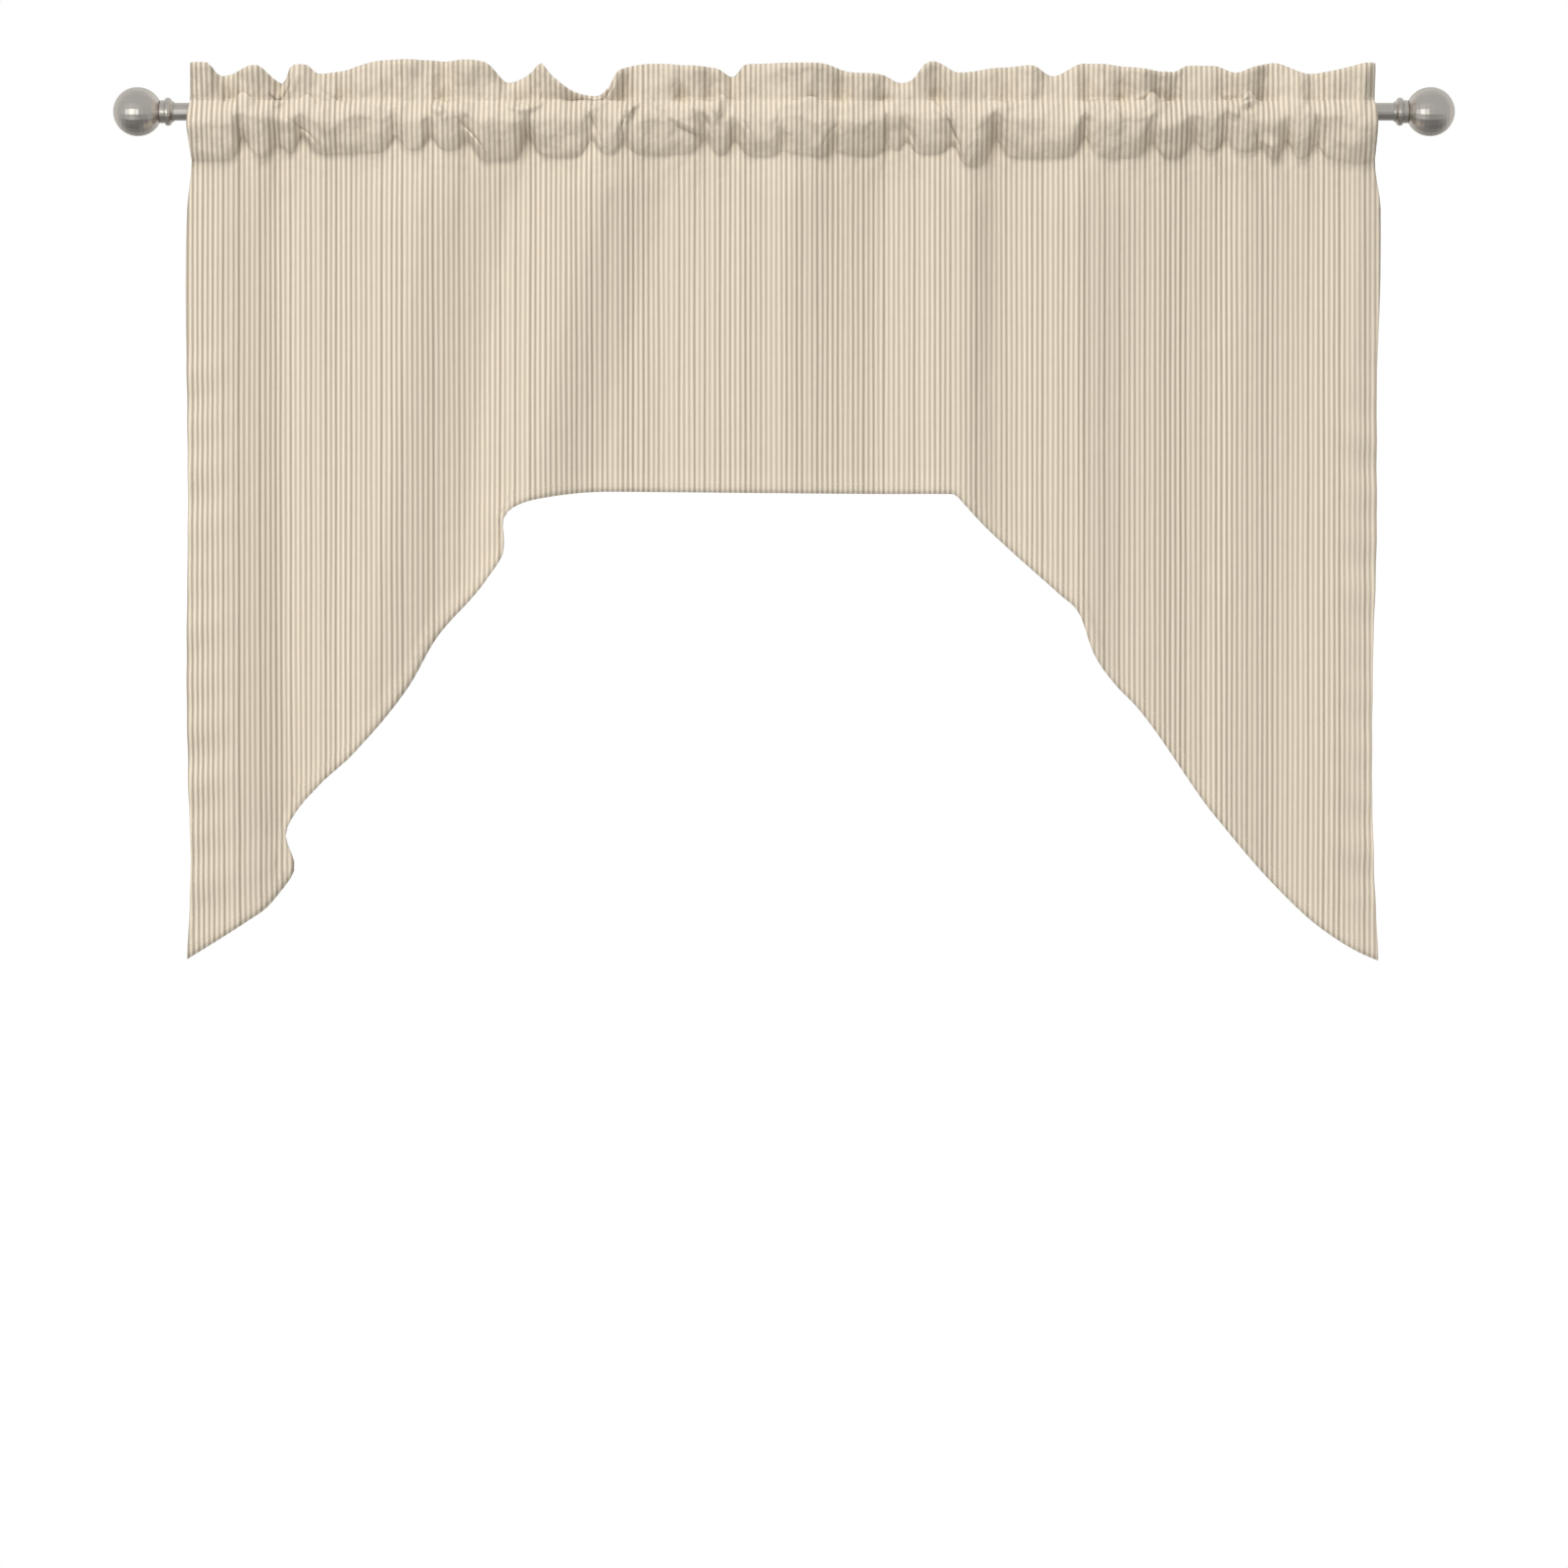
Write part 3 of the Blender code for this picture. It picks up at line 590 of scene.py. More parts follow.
def pocket_front_shape(x, up_share):
    """The front of the pocket, from the seam at 0 to the stitching at 1."""
    low = seam_height(x)
    stand, between = stand_forward(x)
    forward, rise = section_at(PINCHED_SECTION, up_share)
    smooth_forward, smooth_rise = section_at(SMOOTH_SECTION, up_share)
    forward, rise = blend(forward, smooth_forward, between), blend(rise, smooth_rise, between)
    height = np.clip(rise, 0.0, 1.0)
    swing = np.sin(x / 0.0173 + 1.0) + 0.7 * np.sin(x / 0.0079)
    rise += BELLY_SWING * swing * height * (1 - height)
    z = blend(low, STITCH_HEIGHT, rise)
    lift = np.zeros(len(x))
    for dome in DOMES:
        lift += dome.height * np.exp(-((x - dome.x) / dome.width) ** 2)
    over_dome = np.clip((up_share - DOME_FROM) / (1 - DOME_FROM), 0.0, 1.0)
    z += lift * np.sin(math.pi * over_dome) ** 1.3
    base = blend(seam_depth(x), -LAYER_GAP, up_share)
    upper = eased((up_share - 0.5) / 0.5)
    y = base - stand * upper
    y -= (pocket_reach(x, height) - STAND_IN_BELLY * stand * upper) * forward
    y += (crease_push(x, z) + crumple(x, z)) * eased(up_share / 0.12)
    from_stitching = (STITCH_HEIGHT - z) + (1 - up_share) * 0.02
    y += PUCKER_DEPTH * pucker(x) * np.exp(-from_stitching / 0.008)
    y, z = clear_of_rod(y, z)
    return x, y, z


def stitched_depth(x):
    """How far the creases and puckers move both layers at the stitching."""
    level = np.full(len(x), STITCH_HEIGHT)
    moved = crease_push(x, level) + crumple(x, level) + PUCKER_DEPTH * pucker(x)
    return moved - stand_forward(x)[0]


def pocket_back_shape(x, down_share):
    """The back of the pocket, from the stitching at 0 down to the seam at 1."""
    low = seam_height(x)
    angle = math.pi * (0.5 - down_share)
    z = blend(low, STITCH_HEIGHT, 0.5 + 0.5 * np.sin(angle))
    number, share, ends_away = puffs_at(x, 1 - down_share)
    hollow = 1 - swell(share, ends_away, VALLEY_ROUND)
    bulge = (BACK_REACH - BACK_HOLLOW * hollow) * np.maximum(np.cos(angle), 0.0) ** 0.8
    y = blend(LAYER_GAP, seam_depth(x) + 2 * LAYER_GAP, down_share) + bulge
    y += stitched_depth(x) * np.exp(-down_share / 0.08)
    y, z = clear_of_rod(y, z)
    return x, y, z


def frill_height(x):
    """The height of the frill's edge."""
    return np.maximum(frill_top(x), STITCH_HEIGHT + FRILL_LEAST)


def frill_shape(x, up, side):
    """One layer of the frill above the stitching, at the given shares of its height."""
    z = blend(STITCH_HEIGHT, frill_height(x), up)
    apart = LAYER_GAP * (1 + 0.8 * np.sin(math.pi * np.clip(up, 0, 1)))
    y = (FRILL_LEAN * frill_lean(x) + FRILL_DROOP) * up ** 1.2 + side * apart
    y -= stand_forward(x)[0] * (1 - 0.25 * up)
    y += crease_push(x, z) + PUCKER_DEPTH * pucker(x) * np.exp(-(z - STITCH_HEIGHT) / 0.010)
    y += crumple(x, z)
    return x, y, z


def top_fold_shape(x, turn):
    """The turned-over top edge, from the front to the back."""
    angle = math.pi * turn
    y = frill_shape(x, np.ones(len(x)), 0)[1] - LAYER_GAP * np.cos(angle)
    return x, y, frill_height(x) + LAYER_GAP * np.sin(angle)


def turn_in_shape(x, down_share):
    """The end of the back layer, from the seam down behind the cloth."""
    down = TURN_IN * down_share
    return x, seam_depth(x, down) + 2 * LAYER_GAP, seam_height(x) - down


def cloth_points(share, v, hem_depth):
    """The cloth's points for shares of its width and places along its length."""
    share, v = np.asarray(share, float), np.asarray(v, float)
    x = blend(CLOTH_LEFT, CLOTH_RIGHT, share)
    points = np.zeros((len(share), 3))
    stretches = [
        (0, SEAM, lambda s, c, t: body_shape(s, c, t, hem_depth)),
        (SEAM, STITCHED, lambda s, c, t: pocket_front_shape(c, t)),
        (STITCHED, EDGE, lambda s, c, t: frill_shape(c, t, -1)),
        (EDGE, TURNED, lambda s, c, t: top_fold_shape(c, t)),
        (TURNED, BACK_STITCHED, lambda s, c, t: frill_shape(c, 1 - t, 1)),
        (BACK_STITCHED, BACK_SEAM, lambda s, c, t: pocket_back_shape(c, t)),
        (BACK_SEAM, END, lambda s, c, t: turn_in_shape(c, t)),
    ]
    for start, end, shape in stretches:
        here = (v >= start) & ((v < end) | (end == END))
        if here.any():
            found = shape(share[here], x[here], v[here] - start)
            points[here] = np.stack(found, axis=1)
    points[:, 0] += blend(sway_left(points[:, 2]), sway_right(points[:, 2]), share)
    return points


def cloth_rows():
    """Where the rows of faces cross the cloth, from the hem to the back layer's end."""
    body = [0.0, 0.015, HEM_TOP_AT, HEM_STEP_AT]
    body += list(np.linspace(HEM_STEP_AT, 1.0, 33)[1:])
    front = list(SEAM + np.linspace(0, 1, 19)[1:])
    frill = list(STITCHED + np.linspace(0, 1, 5)[1:])
    fold = [EDGE + 0.5, TURNED]
    back_frill = [TURNED + 0.5, BACK_STITCHED]
    back = list(BACK_STITCHED + np.linspace(0, 1, 9)[1:])
    return body + front + frill + fold + back_frill + back + [END]


def cloth_columns(count):
    """The columns' shares of the width, even inside each puff, so that every crease
    between two puffs has a column of its own."""
    shares = [0.0]
    left = CLOTH_LEFT
    for puff in PUFFS:
        steps = max(3, round(count * (puff.right - left) / CLOTH_WIDTH))
        for i in range(1, steps + 1):
            shares.append((blend(left, puff.right, i / steps) - CLOTH_LEFT) / CLOTH_WIDTH)
        left = puff.right
    return shares


def link(made):
    """Put a made object in the scene, on the part's one body."""
    bpy.context.scene.collection.objects.link(made)
    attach(made, "root")
    return made


def new_mesh_object(name, build, look):
    """A new object whose mesh is what the bmesh holds."""
    mesh = bpy.data.meshes.new(name)
    build.to_mesh(mesh)
    build.free()
    mesh.materials.append(look)
    mesh.shade_smooth()
    return bpy.data.objects.new(name, mesh)


class Nodes:
    """A short way to add shader nodes to a material or to the world."""

    def __init__(self, owner, shader):
        owner.use_nodes = True
        self.owner = owner
        self.tree = owner.node_tree
        self.shader = self.tree.nodes[shader]

    def add(self, kind, **settings):
        node = self.tree.nodes.new("ShaderNode" + kind)
        for name, value in settings.items():
            setattr(node, name, value)
        return node

    def feed(self, value, socket):
        """Set a socket to a constant, or join it to another node's output."""
        if isinstance(value, (int, float, tuple)):
            socket.default_value = value
        else:
            self.tree.links.new(value, socket)

    def put(self, name, value):
        self.feed(value, self.shader.inputs[name])

    def fill(self, node, **values):
        for name, value in values.items():
            self.feed(value, node.inputs[name])

    def made(self, kind, values, **settings):
        """The first output of a new node whose first inputs have these values."""
        node = self.add(kind, **settings)
        for value, socket in zip(values, node.inputs):
            self.feed(value, socket)
        return node.outputs[0]

    def math(self, operation, *values):
        return self.made("Math", values, operation=operation)

    def ranged(self, value, low, high, to_low, to_high):
        return self.made("MapRange", (value, low, high, to_low, to_high))

    def parts(self, vector):
        node = self.add("SeparateXYZ")
        self.feed(vector, node.inputs[0])
        return node.outputs

    def object_place(self):
        return self.add("TexCoord").outputs["Object"]

    def noise(self, vector, stretch, detail, roughness=0.5):
        """Noise that varies this many times a metre along each axis."""
        mapping, node = self.add("Mapping"), self.add("TexNoise")
        self.fill(mapping, Vector=vector, Scale=stretch)
        vector = mapping.outputs["Vector"]
        self.fill(node, Vector=vector, Scale=1.0, Detail=detail, Roughness=roughness)
        return node.outputs["Fac"]

    def mix(self, share, low, high, blend_type="MIX"):
        node = self.add("Mix", data_type="RGBA", blend_type=blend_type)
        self.fill(node, Factor=share, A=low, B=high)
        return node.outputs["Result"]

    def bump(self, height, strength, distance, under=None):
        """A bump, laid over the one given as under."""
        node = self.add("Bump")
        self.fill(node, Height=height, Strength=strength, Distance=distance)
        if under is not None:
            self.fill(node, Normal=under)
        return node.outputs[0]


def new_material(name):
    return Nodes(bpy.data.materials.new(name), "Principled BSDF")


def ticking_material(sizes):
    """Woven ticking: cream and sand warp stripes, uneven yarns and a fine plain weave."""
    n = new_material("Ticking cloth")
    cream, sand, yarn = ((*colour, 1.0) for colour in (sizes.cream, sizes.sand, sizes.yarn))
    uv = n.add("UVMap", uv_map="Cloth").outputs[0]
    across, along = n.parts(uv)[:2]

    wander = n.ranged(n.noise(uv, (90.0, 5.0, 1.0), 1.0), 0.3, 0.7, -0.06, 0.06)
    stripe = n.math("ADD", n.math("DIVIDE", across, sizes.stripe_pitch), wander)
    from_middle = n.math("ABSOLUTE", n.math("SUBTRACT", n.math("FRACT", stripe), 0.5))
    edge = sizes.sand_share / 2
    sandy = n.ranged(from_middle, edge + 0.15, edge - 0.15, 0.0, 1.0)
    each = n.add("TexWhiteNoise", noise_dimensions="1D")
    n.feed(n.math("FLOOR", stripe), each.inputs["W"])
    sandy = n.math("MULTIPLY", sandy, n.ranged(each.outputs["Value"], 0.0, 1.0, 0.60, 1.0))
    colour = n.mix(sandy, cream, sand)

    slub = n.noise(uv, (1400.0, 22.0, 1.0), 2.0, 0.6)
    colour = n.mix(n.ranged(slub, 0.35, 0.75, 0.0, 0.24), colour, yarn)
    weft = n.noise(uv, (30.0, 1300.0, 1.0), 2.0, 0.6)
    n.put("Base Color", n.mix(n.ranged(weft, 0.30, 0.80, 0.0, 0.12), colour, yarn))
    n.put("Roughness", n.ranged(slub, 0.2, 0.8, 0.84, 0.95))

    turns = 2 * math.pi / sizes.weave_pitch
    waves = [n.math("SINE", n.math("MULTIPLY", way, turns)) for way in (across, along)]
    height = n.math("ADD", n.math("MULTIPLY", n.math("MULTIPLY", *waves), 0.5), slub)
    creasing = n.noise(n.object_place(), (62.0, 62.0, 48.0), 2.0, 0.45)
    wrinkle = n.bump(creasing, n.ranged(along, -0.085, -0.035, 0.12, 0.80), 0.0060)
    n.put("Normal", n.bump(height, 0.35, 0.00018, wrinkle))
    n.put("Sheen Weight", 0.12)
    n.put("Sheen Roughness", 0.45)
    n.put("Specular IOR Level", 0.22)
    return n.owner


def thread_material(threads):
    """Spun sewing thread, a little darker than the cloth, with its twist."""
    n = new_material("Sewing thread")
    twist = n.noise(n.object_place(), (900.0, 900.0, 900.0), 1.0)
    n.put("Base Color", n.mix(twist, (*threads.colour, 1.0), (0.80, 0.72, 0.60, 1.0)))
    n.put("Roughness", 0.75)
    return n.owner


def nickel_material(metal, name, turned):
    """Brushed nickel: fine lines round the rod's axis, or along it on the rod itself."""
    n = new_material(name)
    place = n.object_place()
    lines = (2600.0, 60.0, 60.0) if turned else (30.0, 2200.0, 2200.0)
    brushed = n.noise(place, lines, 2.0, 0.6)
    cloud = n.ranged(n.noise(place, (45.0, 45.0, 45.0), 3.0), 0.3, 0.7, 0.0, 0.5)
    dark = tuple(0.80 * c for c in metal.colour)
    n.put("Base Color", n.mix(cloud, (*metal.colour, 1.0), (*dark, 1.0)))
    smooth, rough = metal.roughness - 0.05, metal.roughness + 0.08
    n.put("Roughness", n.ranged(brushed, 0.25, 0.75, smooth, rough))
    n.put("Normal", n.bump(brushed, 0.25, 0.00006))
    n.put("Metallic", 1.0)
    n.put("Specular Tint", (0.45, 0.44, 0.42, 1.0))
    return n.owner


def floor_material(stage):
    """A pale matt floor with a faint unevenness."""
    n = new_material("Pale floor")
    cloud = n.noise(n.object_place(), (1.5, 1.5, 1.5), 3.0)
    pale = tuple(0.97 * c for c in stage.pale)
    n.put("Base Color", n.mix(cloud, (*stage.pale, 1.0), (*pale, 1.0)))
    n.put("Roughness", 0.9)
    return n.owner


def hung(sheet, sizes):
    """The flat places of a sheet's points, and where they lie once it hangs."""
    flat = np.array([vertex.co for vertex in sheet.verts])
    return flat, cloth_points(flat[:, 0], flat[:, 1], sizes.hem_depth)


def from_side(share):
    """How far inside the nearer side edge a share of the width lies."""
    return np.minimum(share, 1 - share) * CLOTH_WIDTH


def split(sheet, edges):
    bmesh.ops.subdivide_edges(sheet, edges=edges, cuts=1, use_grid_fill=True)


def make_cloth(sizes):
    """The cloth as one grid, laid from the hem over the top and down behind the rod. Its
    faces are finer in the heading, and finer again by a crease and in the side hems."""
    columns, rows = cloth_columns(sizes.columns), cloth_rows()
    across, along = len(columns) - 1, len(rows) - 1
    sheet = bmesh.new()
    bmesh.ops.create_grid(sheet, x_segments=across, y_segments=along, size=0.5)
    for vertex in sheet.verts:
        column = round((vertex.co.x + 0.5) * across)
        row = round((vertex.co.y + 0.5) * along)
        vertex.co = (columns[column], rows[row], 0.0)
    split(sheet, [
        edge
        for edge in sheet.edges
        if all(HEADING_AT < vertex.co.y < EDGE + 0.01 for vertex in edge.verts)
    ])
    flat, points = hung(sheet, sizes)
    v = flat[:, 1]
    fine = by_a_crease(points[:, 0], points[:, 2]) & (v > HEADING_AT) & (v < EDGE)
    beside = from_side(flat[:, 0]) < SIDE_STRIP
    fine |= beside & (v > HEM_STEP_AT + HAIR) & (v < HEADING_AT)
    sheet.verts.index_update()
    split(sheet, [edge for edge in sheet.edges if all(fine[v.index] for v in edge.verts)])
    flat, points = hung(sheet, sizes)
    weights = sheet.verts.layers.deform.new()
    cloth_map = sheet.loops.layers.uv.new("Cloth")
    for vertex, place, (share, v, rest) in zip(sheet.verts, points, flat):
        vertex.co = place
        in_side = from_side(share) < SIDE_HEM and v < EDGE
        in_hem = v <= HEM_TOP_AT + HAIR
        vertex[weights][0] = 1.0 if in_hem else (SIDE_HEM_SHARE if in_side else 0.0)
    sheet.verts.index_update()
    for face in sheet.faces:
        for loop in face.loops:
            number = loop.vert.index
            x, y, z = points[number]
            loop[cloth_map].uv = (x, cloth_run(flat[number][1], z))
    bmesh.ops.recalc_face_normals(sheet, faces=sheet.faces)
    made = link(new_mesh_object("valance_cloth", sheet, ticking_material(sizes)))
    made.vertex_groups.new(name="Hem")
    solid = made.modifiers.new("Cloth thickness", "SOLIDIFY")
    solid.thickness = sizes.hem_thickness
    solid.offset = 0
    solid.vertex_group = "Hem"
    solid.thickness_vertex_group = sizes.thickness / sizes.hem_thickness
    return made


def cloth_run(v, z):
    """How far along the cloth's length a point lies, for the weave."""
    if v <= SEAM:
        return z
    return -0.05 + (v - SEAM) * 0.075


def seam_line(shares, v, sizes, every):
    """Even places along a line of stitching, each with its direction and the cloth's
    outward side there."""
    def at(share, v):
        return cloth_points(share, v, sizes.hem_depth)

    places = at(shares, v)
    steps = np.linalg.norm(np.diff(places, axis=0), axis=1)
    along = np.concatenate([[0], np.cumsum(steps)])
    count = int(along[-1] / every)
    wanted = (np.arange(count) + 0.5) * along[-1] / count
    share = np.interp(wanted, along, shares)
    v = np.interp(wanted, along, v)
    across, up = 0.0004, 0.004
    beside = at(np.minimum(share + across, 1.0), v) - at(np.maximum(share - across, 0.0), v)
    above = at(share, v + up) - at(share, np.maximum(v - up, 0.0))
    normals = np.cross(beside, above)
    normals /= np.linalg.norm(normals, axis=1)[:, None]
    normals *= np.where(normals[:, 1] > 0, -1.0, 1.0)[:, None]
    runs = np.stack([np.interp(wanted, along, places[:, i]) for i in range(3)], axis=1)
    ahead = [np.interp(wanted + every / 3, along, places[:, i]) for i in range(3)]
    directions = np.stack(ahead, axis=1) - runs
    return at(share, v), directions, normals


def make_stitching(name, lines, lift, threads, sizes, look):
    """Short stitches half sunk into the cloth along the given lines, as one piece."""
    size = Matrix.Diagonal((threads.length / 2, threads.width / 2, threads.width / 2, 1))
    places = []
    for shares, v in lines:
        middle, directions, normals = seam_line(shares, v, sizes, threads.pitch)
        for place, direction, normal in zip(middle, directions, normals):
            out = Vector(normal)
            run = Vector(direction)
            run = (run - out * run.dot(out)).normalized()
            turn = Matrix((run, out.cross(run), out)).transposed().to_4x4()
            places.append(Matrix.Translation(Vector(place) + out * lift) @ turn @ size)
    whole = bmesh.new()
    passing = bpy.data.meshes.new("passing")
    for start in range(0, len(places), STITCHES_AT_ONCE):
        build = bmesh.new()
        for place in places[start:start + STITCHES_AT_ONCE]:
            bmesh.ops.create_uvsphere(
                build, u_segments=6, v_segments=4, radius=1.0, matrix=place
            )
        build.to_mesh(passing)
        build.free()
        whole.from_mesh(passing)
    bpy.data.meshes.remove(passing)
    return link(new_mesh_object(name, whole, look))


def add_area_light(name, power, place, aim, size, colour):
    """An area light of that width and height, aimed at a point."""
    light = bpy.data.lights.new(name, "AREA")
    light.shape = "ELLIPSE"
    light.size, light.size_y = size
    light.energy = power
    light.color = colour
    made = bpy.data.objects.new(name, light)
    made.location = place
    made.rotation_euler = (Vector(aim) - Vector(place)).to_track_quat("-Z", "Y").to_euler()
    bpy.context.scene.collection.objects.link(made)
    return made


def make_world(stage):
    """A pale surround, a little darker on the room side than behind the cloth, and darker
    from below."""
    world = bpy.data.worlds.new("Pale studio")
    bpy.context.scene.world = world
    n = Nodes(world, "Background")
    x, y, z = n.parts(n.add("TexCoord").outputs["Generated"])
    side = n.ranged(y, 0.1, 0.8, 0.0, 1.0)
    colour = n.mix(side, (*stage.room, 1.0), (*stage.surround, 1.0))
    height = n.ranged(z, -0.75, -0.2, stage.underneath, 1.0)
    n.put("Color", n.mix(1.0, colour, height, "MULTIPLY"))
    n.put("Strength", stage.surround_strength)


def setting(name, description, default, low, high, **kind):
    """A number that the panel offers, with its least and greatest value."""
    return FloatProperty(
        name=name, description=description, default=default, min=low, max=high, **kind
    )


def length(name, description, default, low, high):
    return setting(name, description, default, low, high, unit="LENGTH", precision=5)


def power(name, description, default, high):
    return setting(name, description, default, 0.0, high, unit="POWER")


def factor(name, description, default):
    return setting(name, description, default, 0.0, 1.0, subtype="FACTOR")


def tint(name, description, default):
    return FloatVectorProperty(
        name=name, description=description, default=default, min=0.0, max=1.0,
        subtype="COLOR",
    )


class ValanceClothSettings(bpy.types.PropertyGroup):
    """Sizes and colours of the ticking cloth."""

    thickness: length("Cloth thickness", "Thickness of one layer", 0.0010, 0.0004, 0.003)
    hem_thickness: length("Hem thickness", "Thickness of the hem", 0.0020, 0.0004, 0.006)
    hem_depth: length("Hem depth", "Depth of the turned hem", 0.012, 0.004, 0.05)
    columns: IntProperty(
        name="Columns", description="Columns of faces across the cloth", default=262,
        min=60, max=500,
    )
    stripe_pitch: length("Stripe pitch", "From one stripe to the next", 0.00522, 0.002, 0.05)
    sand_share: factor("Sand share", "Share of the pitch that the sand stripe takes", 0.50)
    weave_pitch: length("Weave pitch", "Distance over two yarns", 0.0011, 0.0004, 0.005)
    cream: tint("Cream", "Colour of the light yarn", (0.725, 0.645, 0.528))
    sand: tint("Sand", "Colour of the stripes", (0.322, 0.278, 0.218))
    yarn: tint("Slub", "Colour of the thicker yarns", (0.56, 0.48, 0.37))


class ValanceThreadSettings(bpy.types.PropertyGroup):
    """Sizes and colour of the sewing."""

    pitch: length("Stitch pitch", "From one stitch to the next", 0.0032, 0.001, 0.01)
    length: length("Stitch length", "Length of one stitch", 0.0024, 0.001, 0.01)
    width: length("Thread width", "Thickness of the thread", 0.0005, 0.0001, 0.002)
    colour: tint("Thread", "Colour of the thread", (0.64, 0.56, 0.45))


class ValanceMetalSettings(bpy.types.PropertyGroup):
    """Finish of the rod and its finials."""

    colour: tint("Nickel", "Colour of the brushed nickel", (0.85, 0.805, 0.74))
    roughness: factor("Roughness", "Roughness of the brushed finish", 0.34)


class ValanceStageSettings(bpy.types.PropertyGroup):
    """Floor, light and camera."""

    floor_height: length("Floor height", "From the rod's axis", -2.1, -10.0, 0.0)
    pale: tint("Floor", "Colour of the floor", (0.82, 0.82, 0.81))
    surround: tint("Surround", "Colour behind the cloth", (1.0, 1.0, 1.0))
    room: tint("Room side", "Colour on the room side", (0.46, 0.46, 0.463))
    underneath: factor("Underneath", "Brightness of the surround from below", 0.34)
    surround_strength: setting("Surround strength", "Its brightness", 1.0, 0.0, 5.0)
    key_power: power("Key power", "Power of the large soft light", 1270.0, 4000.0)
    low_power: power("Low power", "Power of the light that the metal reflects", 16.0, 500.0)
    camera_distance: length("Camera distance", "From the rod", 6.0, 1.0, 30.0)
    view_width: length("View width", "Width of the view at the rod", 1.6, 0.2, 10.0)
    view_height: length("View height", "Of the view's middle", -0.686, -10.0, 10.0)


class VALANCE_OT_cloth(bpy.types.Operator):
    """Lay the gathered cloth over the rod, from the hem to the end of the back layer"""

    bl_idname = "valance.cloth"
    bl_label = "Valance Cloth"

    def execute(self, context):
        made = make_cloth(context.scene.valance_cloth)
        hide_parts("swag_valance")
        return {"FINISHED"}


class VALANCE_OT_stitching(bpy.types.Operator):
    bl_idname = "valance.stitching"
    bl_label = "Stitching"

    def execute(self, context):
        sizes, threads = context.scene.valance_cloth, context.scene.valance_threads
        look = thread_material(threads)
        across = np.linspace(0.001, 0.999, 3000)
        level = np.ones(len(across))
        heading = [(across, level * (STITCHED + 0.03))]
        hem = [(across, level * HEM_TOP_AT * 0.85)]
        up_body = np.linspace(HEM_TOP_AT, SEAM - 0.01, 1500)
        up_frill = np.linspace(STITCHED + 0.06, EDGE - 0.05, 200)
        inside = 0.0085 / CLOTH_WIDTH
        sides = []
        for share in (inside, 1 - inside):
            for run in (up_body, up_frill):
                sides.append((np.full(len(run), share), run))
        lift = sizes.thickness / 2 - threads.width * 0.15
        hem_lift = sizes.hem_thickness / 2 - threads.width * 0.05
        pieces = [
            make_stitching("heading_stitches", heading, lift, threads, sizes, look),
            make_stitching("hem_stitches", hem, hem_lift, threads, sizes, look),
            make_stitching("side_stitches", sides, hem_lift * 0.7, threads, sizes, look),
        ]
        return {"FINISHED"}


class VALANCE_OT_metal(bpy.types.Operator):
    """Finish the rod and its finials in brushed nickel"""

    bl_idname = "valance.metal"
    bl_label = "Nickel Finish"

    def execute(self, context):
        metal = context.scene.valance_metal
        along = nickel_material(metal, "Brushed nickel rod", False)
        turned = nickel_material(metal, "Brushed nickel finial", True)
        for name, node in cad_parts.items():
            if name == "swag_valance":
                continue
            look = along if name == "curtain_rod" else turned
            node.data.materials.clear()
            node.data.materials.append(look)
        return {"FINISHED"}


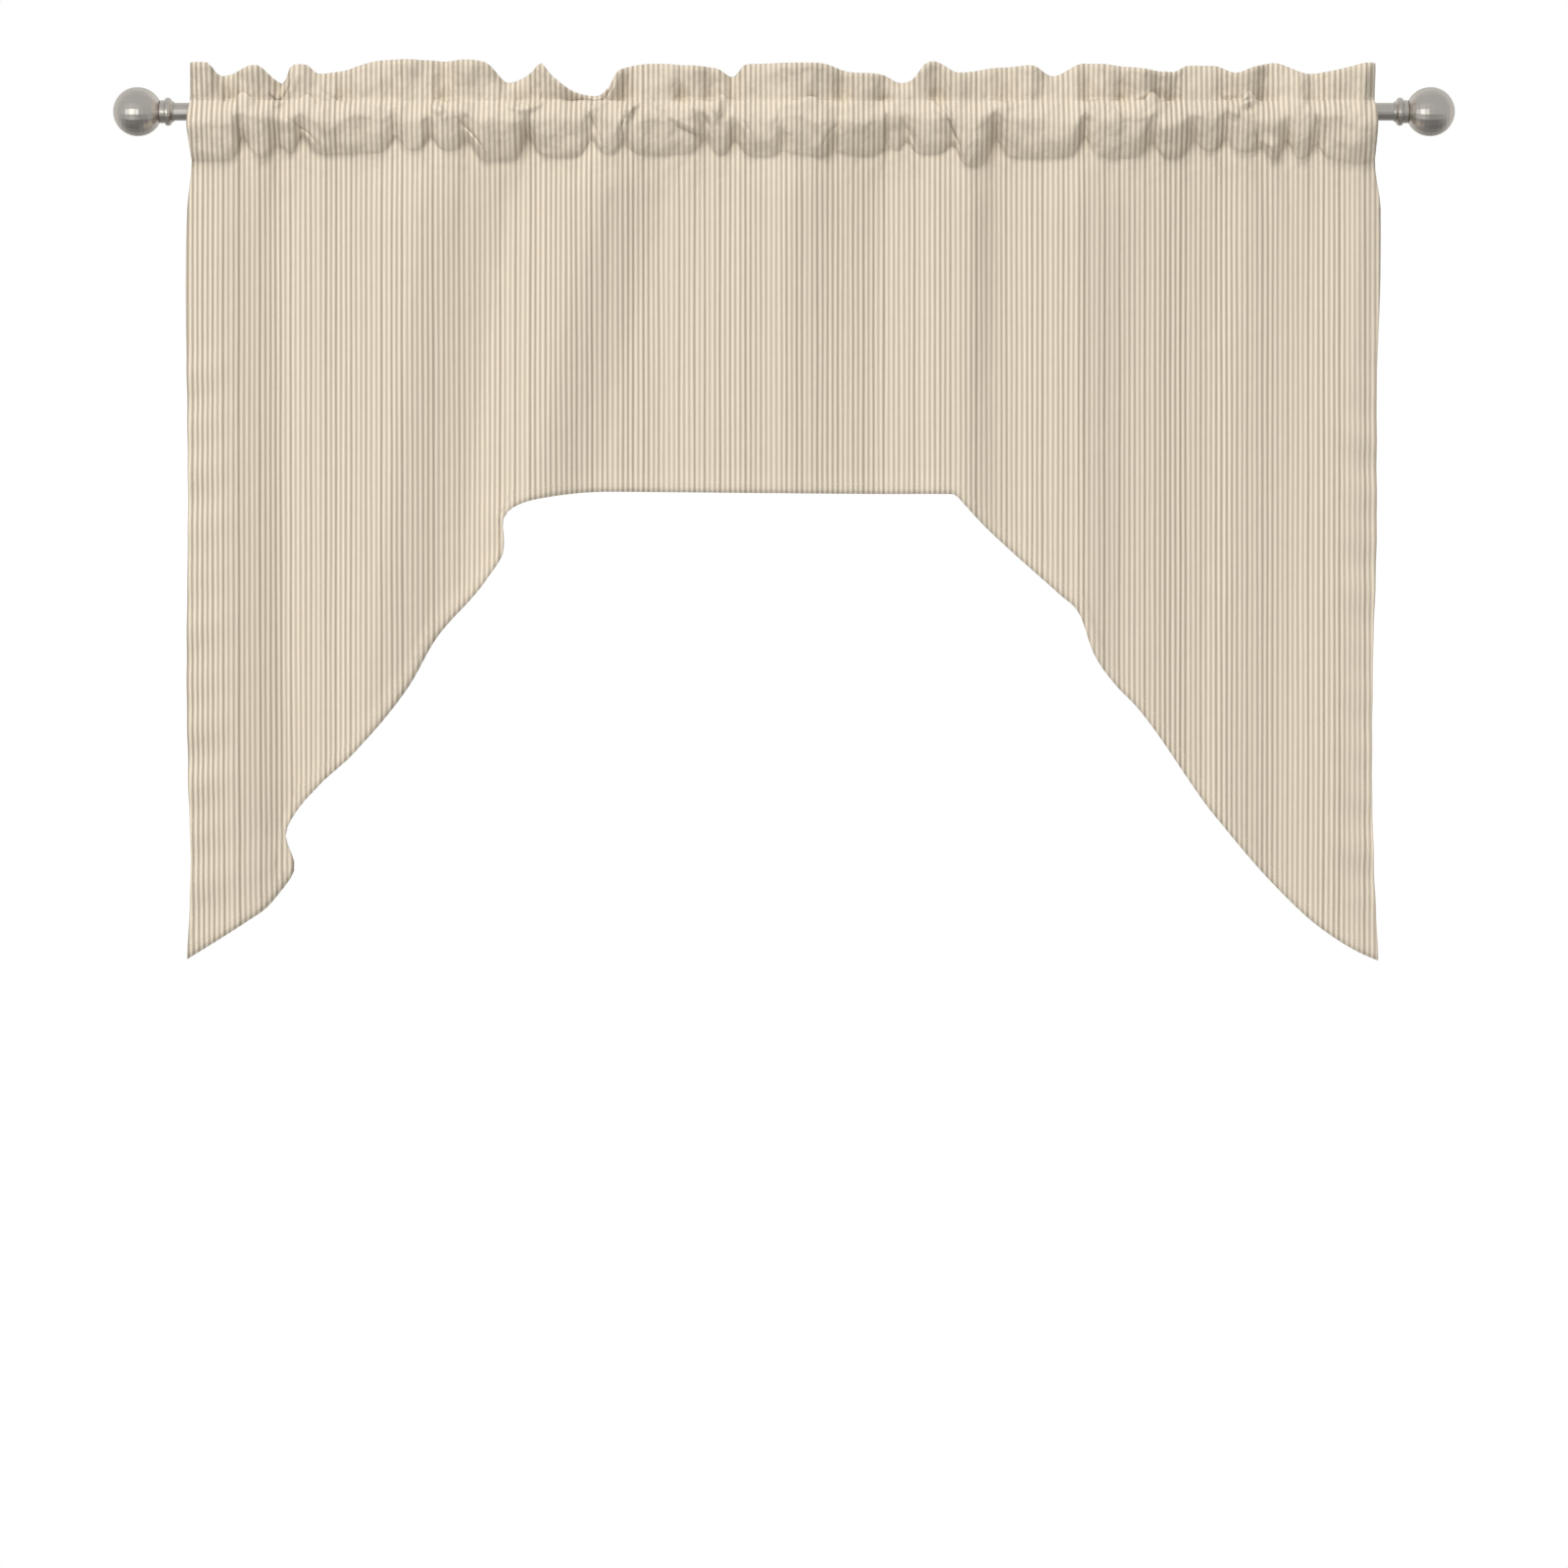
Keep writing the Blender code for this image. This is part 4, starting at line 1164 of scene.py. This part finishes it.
class VALANCE_OT_stage(bpy.types.Operator):
    """Set the pale floor, the soft lights and the camera"""

    bl_idname = "valance.stage"
    bl_label = "Stage"

    def execute(self, context):
        stage = context.scene.valance_stage
        build = bmesh.new()
        bmesh.ops.create_grid(build, x_segments=8, y_segments=8, size=FLOOR_HALF)
        bmesh.ops.translate(build, verts=build.verts, vec=(0, 0, stage.floor_height))
        floor = new_mesh_object("pale_floor", build, floor_material(stage))
        context.scene.collection.objects.link(floor)
        floor.visible_glossy = False
        make_world(stage)
        key = add_area_light("Key light", stage.key_power, *KEY_LIGHT)
        key.visible_glossy = False
        add_area_light("Low light", stage.low_power, *LOW_LIGHT)
        camera = bpy.data.cameras.new("Camera")
        camera.sensor_width = 36.0
        camera.lens = camera.sensor_width * stage.camera_distance / stage.view_width
        camera.clip_end = 100.0
        made = bpy.data.objects.new("Camera", camera)
        made.location = (0, -stage.camera_distance, stage.view_height)
        made.rotation_euler = (math.pi / 2, 0, 0)
        context.scene.collection.objects.link(made)
        context.scene.camera = made
        context.scene.view_settings.view_transform = "Standard"
        return {"FINISHED"}


OPERATORS = (VALANCE_OT_stage, VALANCE_OT_cloth, VALANCE_OT_stitching, VALANCE_OT_metal)


class VALANCE_PT_panel(bpy.types.Panel):
    """The steps that make the valance, in order"""

    bl_label = "Swag Valance"
    bl_idname = "VALANCE_PT_panel"
    bl_space_type = "VIEW_3D"
    bl_region_type = "UI"
    bl_category = "Valance"

    def draw(self, context):
        for group, operator in zip(SETTINGS, OPERATORS):
            box = self.layout.box()
            box.operator(operator.bl_idname)
            settings = getattr(context.scene, group)
            for name in settings.__annotations__:
                box.prop(settings, name)


SETTINGS = {
    "valance_stage": ValanceStageSettings,
    "valance_cloth": ValanceClothSettings,
    "valance_threads": ValanceThreadSettings,
    "valance_metal": ValanceMetalSettings,
}


def register():
    for group in SETTINGS.values():
        bpy.utils.register_class(group)
    for operator in OPERATORS:
        bpy.utils.register_class(operator)
    bpy.utils.register_class(VALANCE_PT_panel)
    for name, group in SETTINGS.items():
        setattr(bpy.types.Scene, name, PointerProperty(type=group))


def unregister():
    for name in SETTINGS:
        delattr(bpy.types.Scene, name)
    bpy.utils.unregister_class(VALANCE_PT_panel)
    for operator in reversed(OPERATORS):
        bpy.utils.unregister_class(operator)
    for group in SETTINGS.values():
        bpy.utils.unregister_class(group)


def main():
    register()
    bpy.ops.valance.stage()
    bpy.ops.valance.cloth()
    bpy.ops.valance.stitching()
    bpy.ops.valance.metal()


if __name__ == "__main__":
    main()
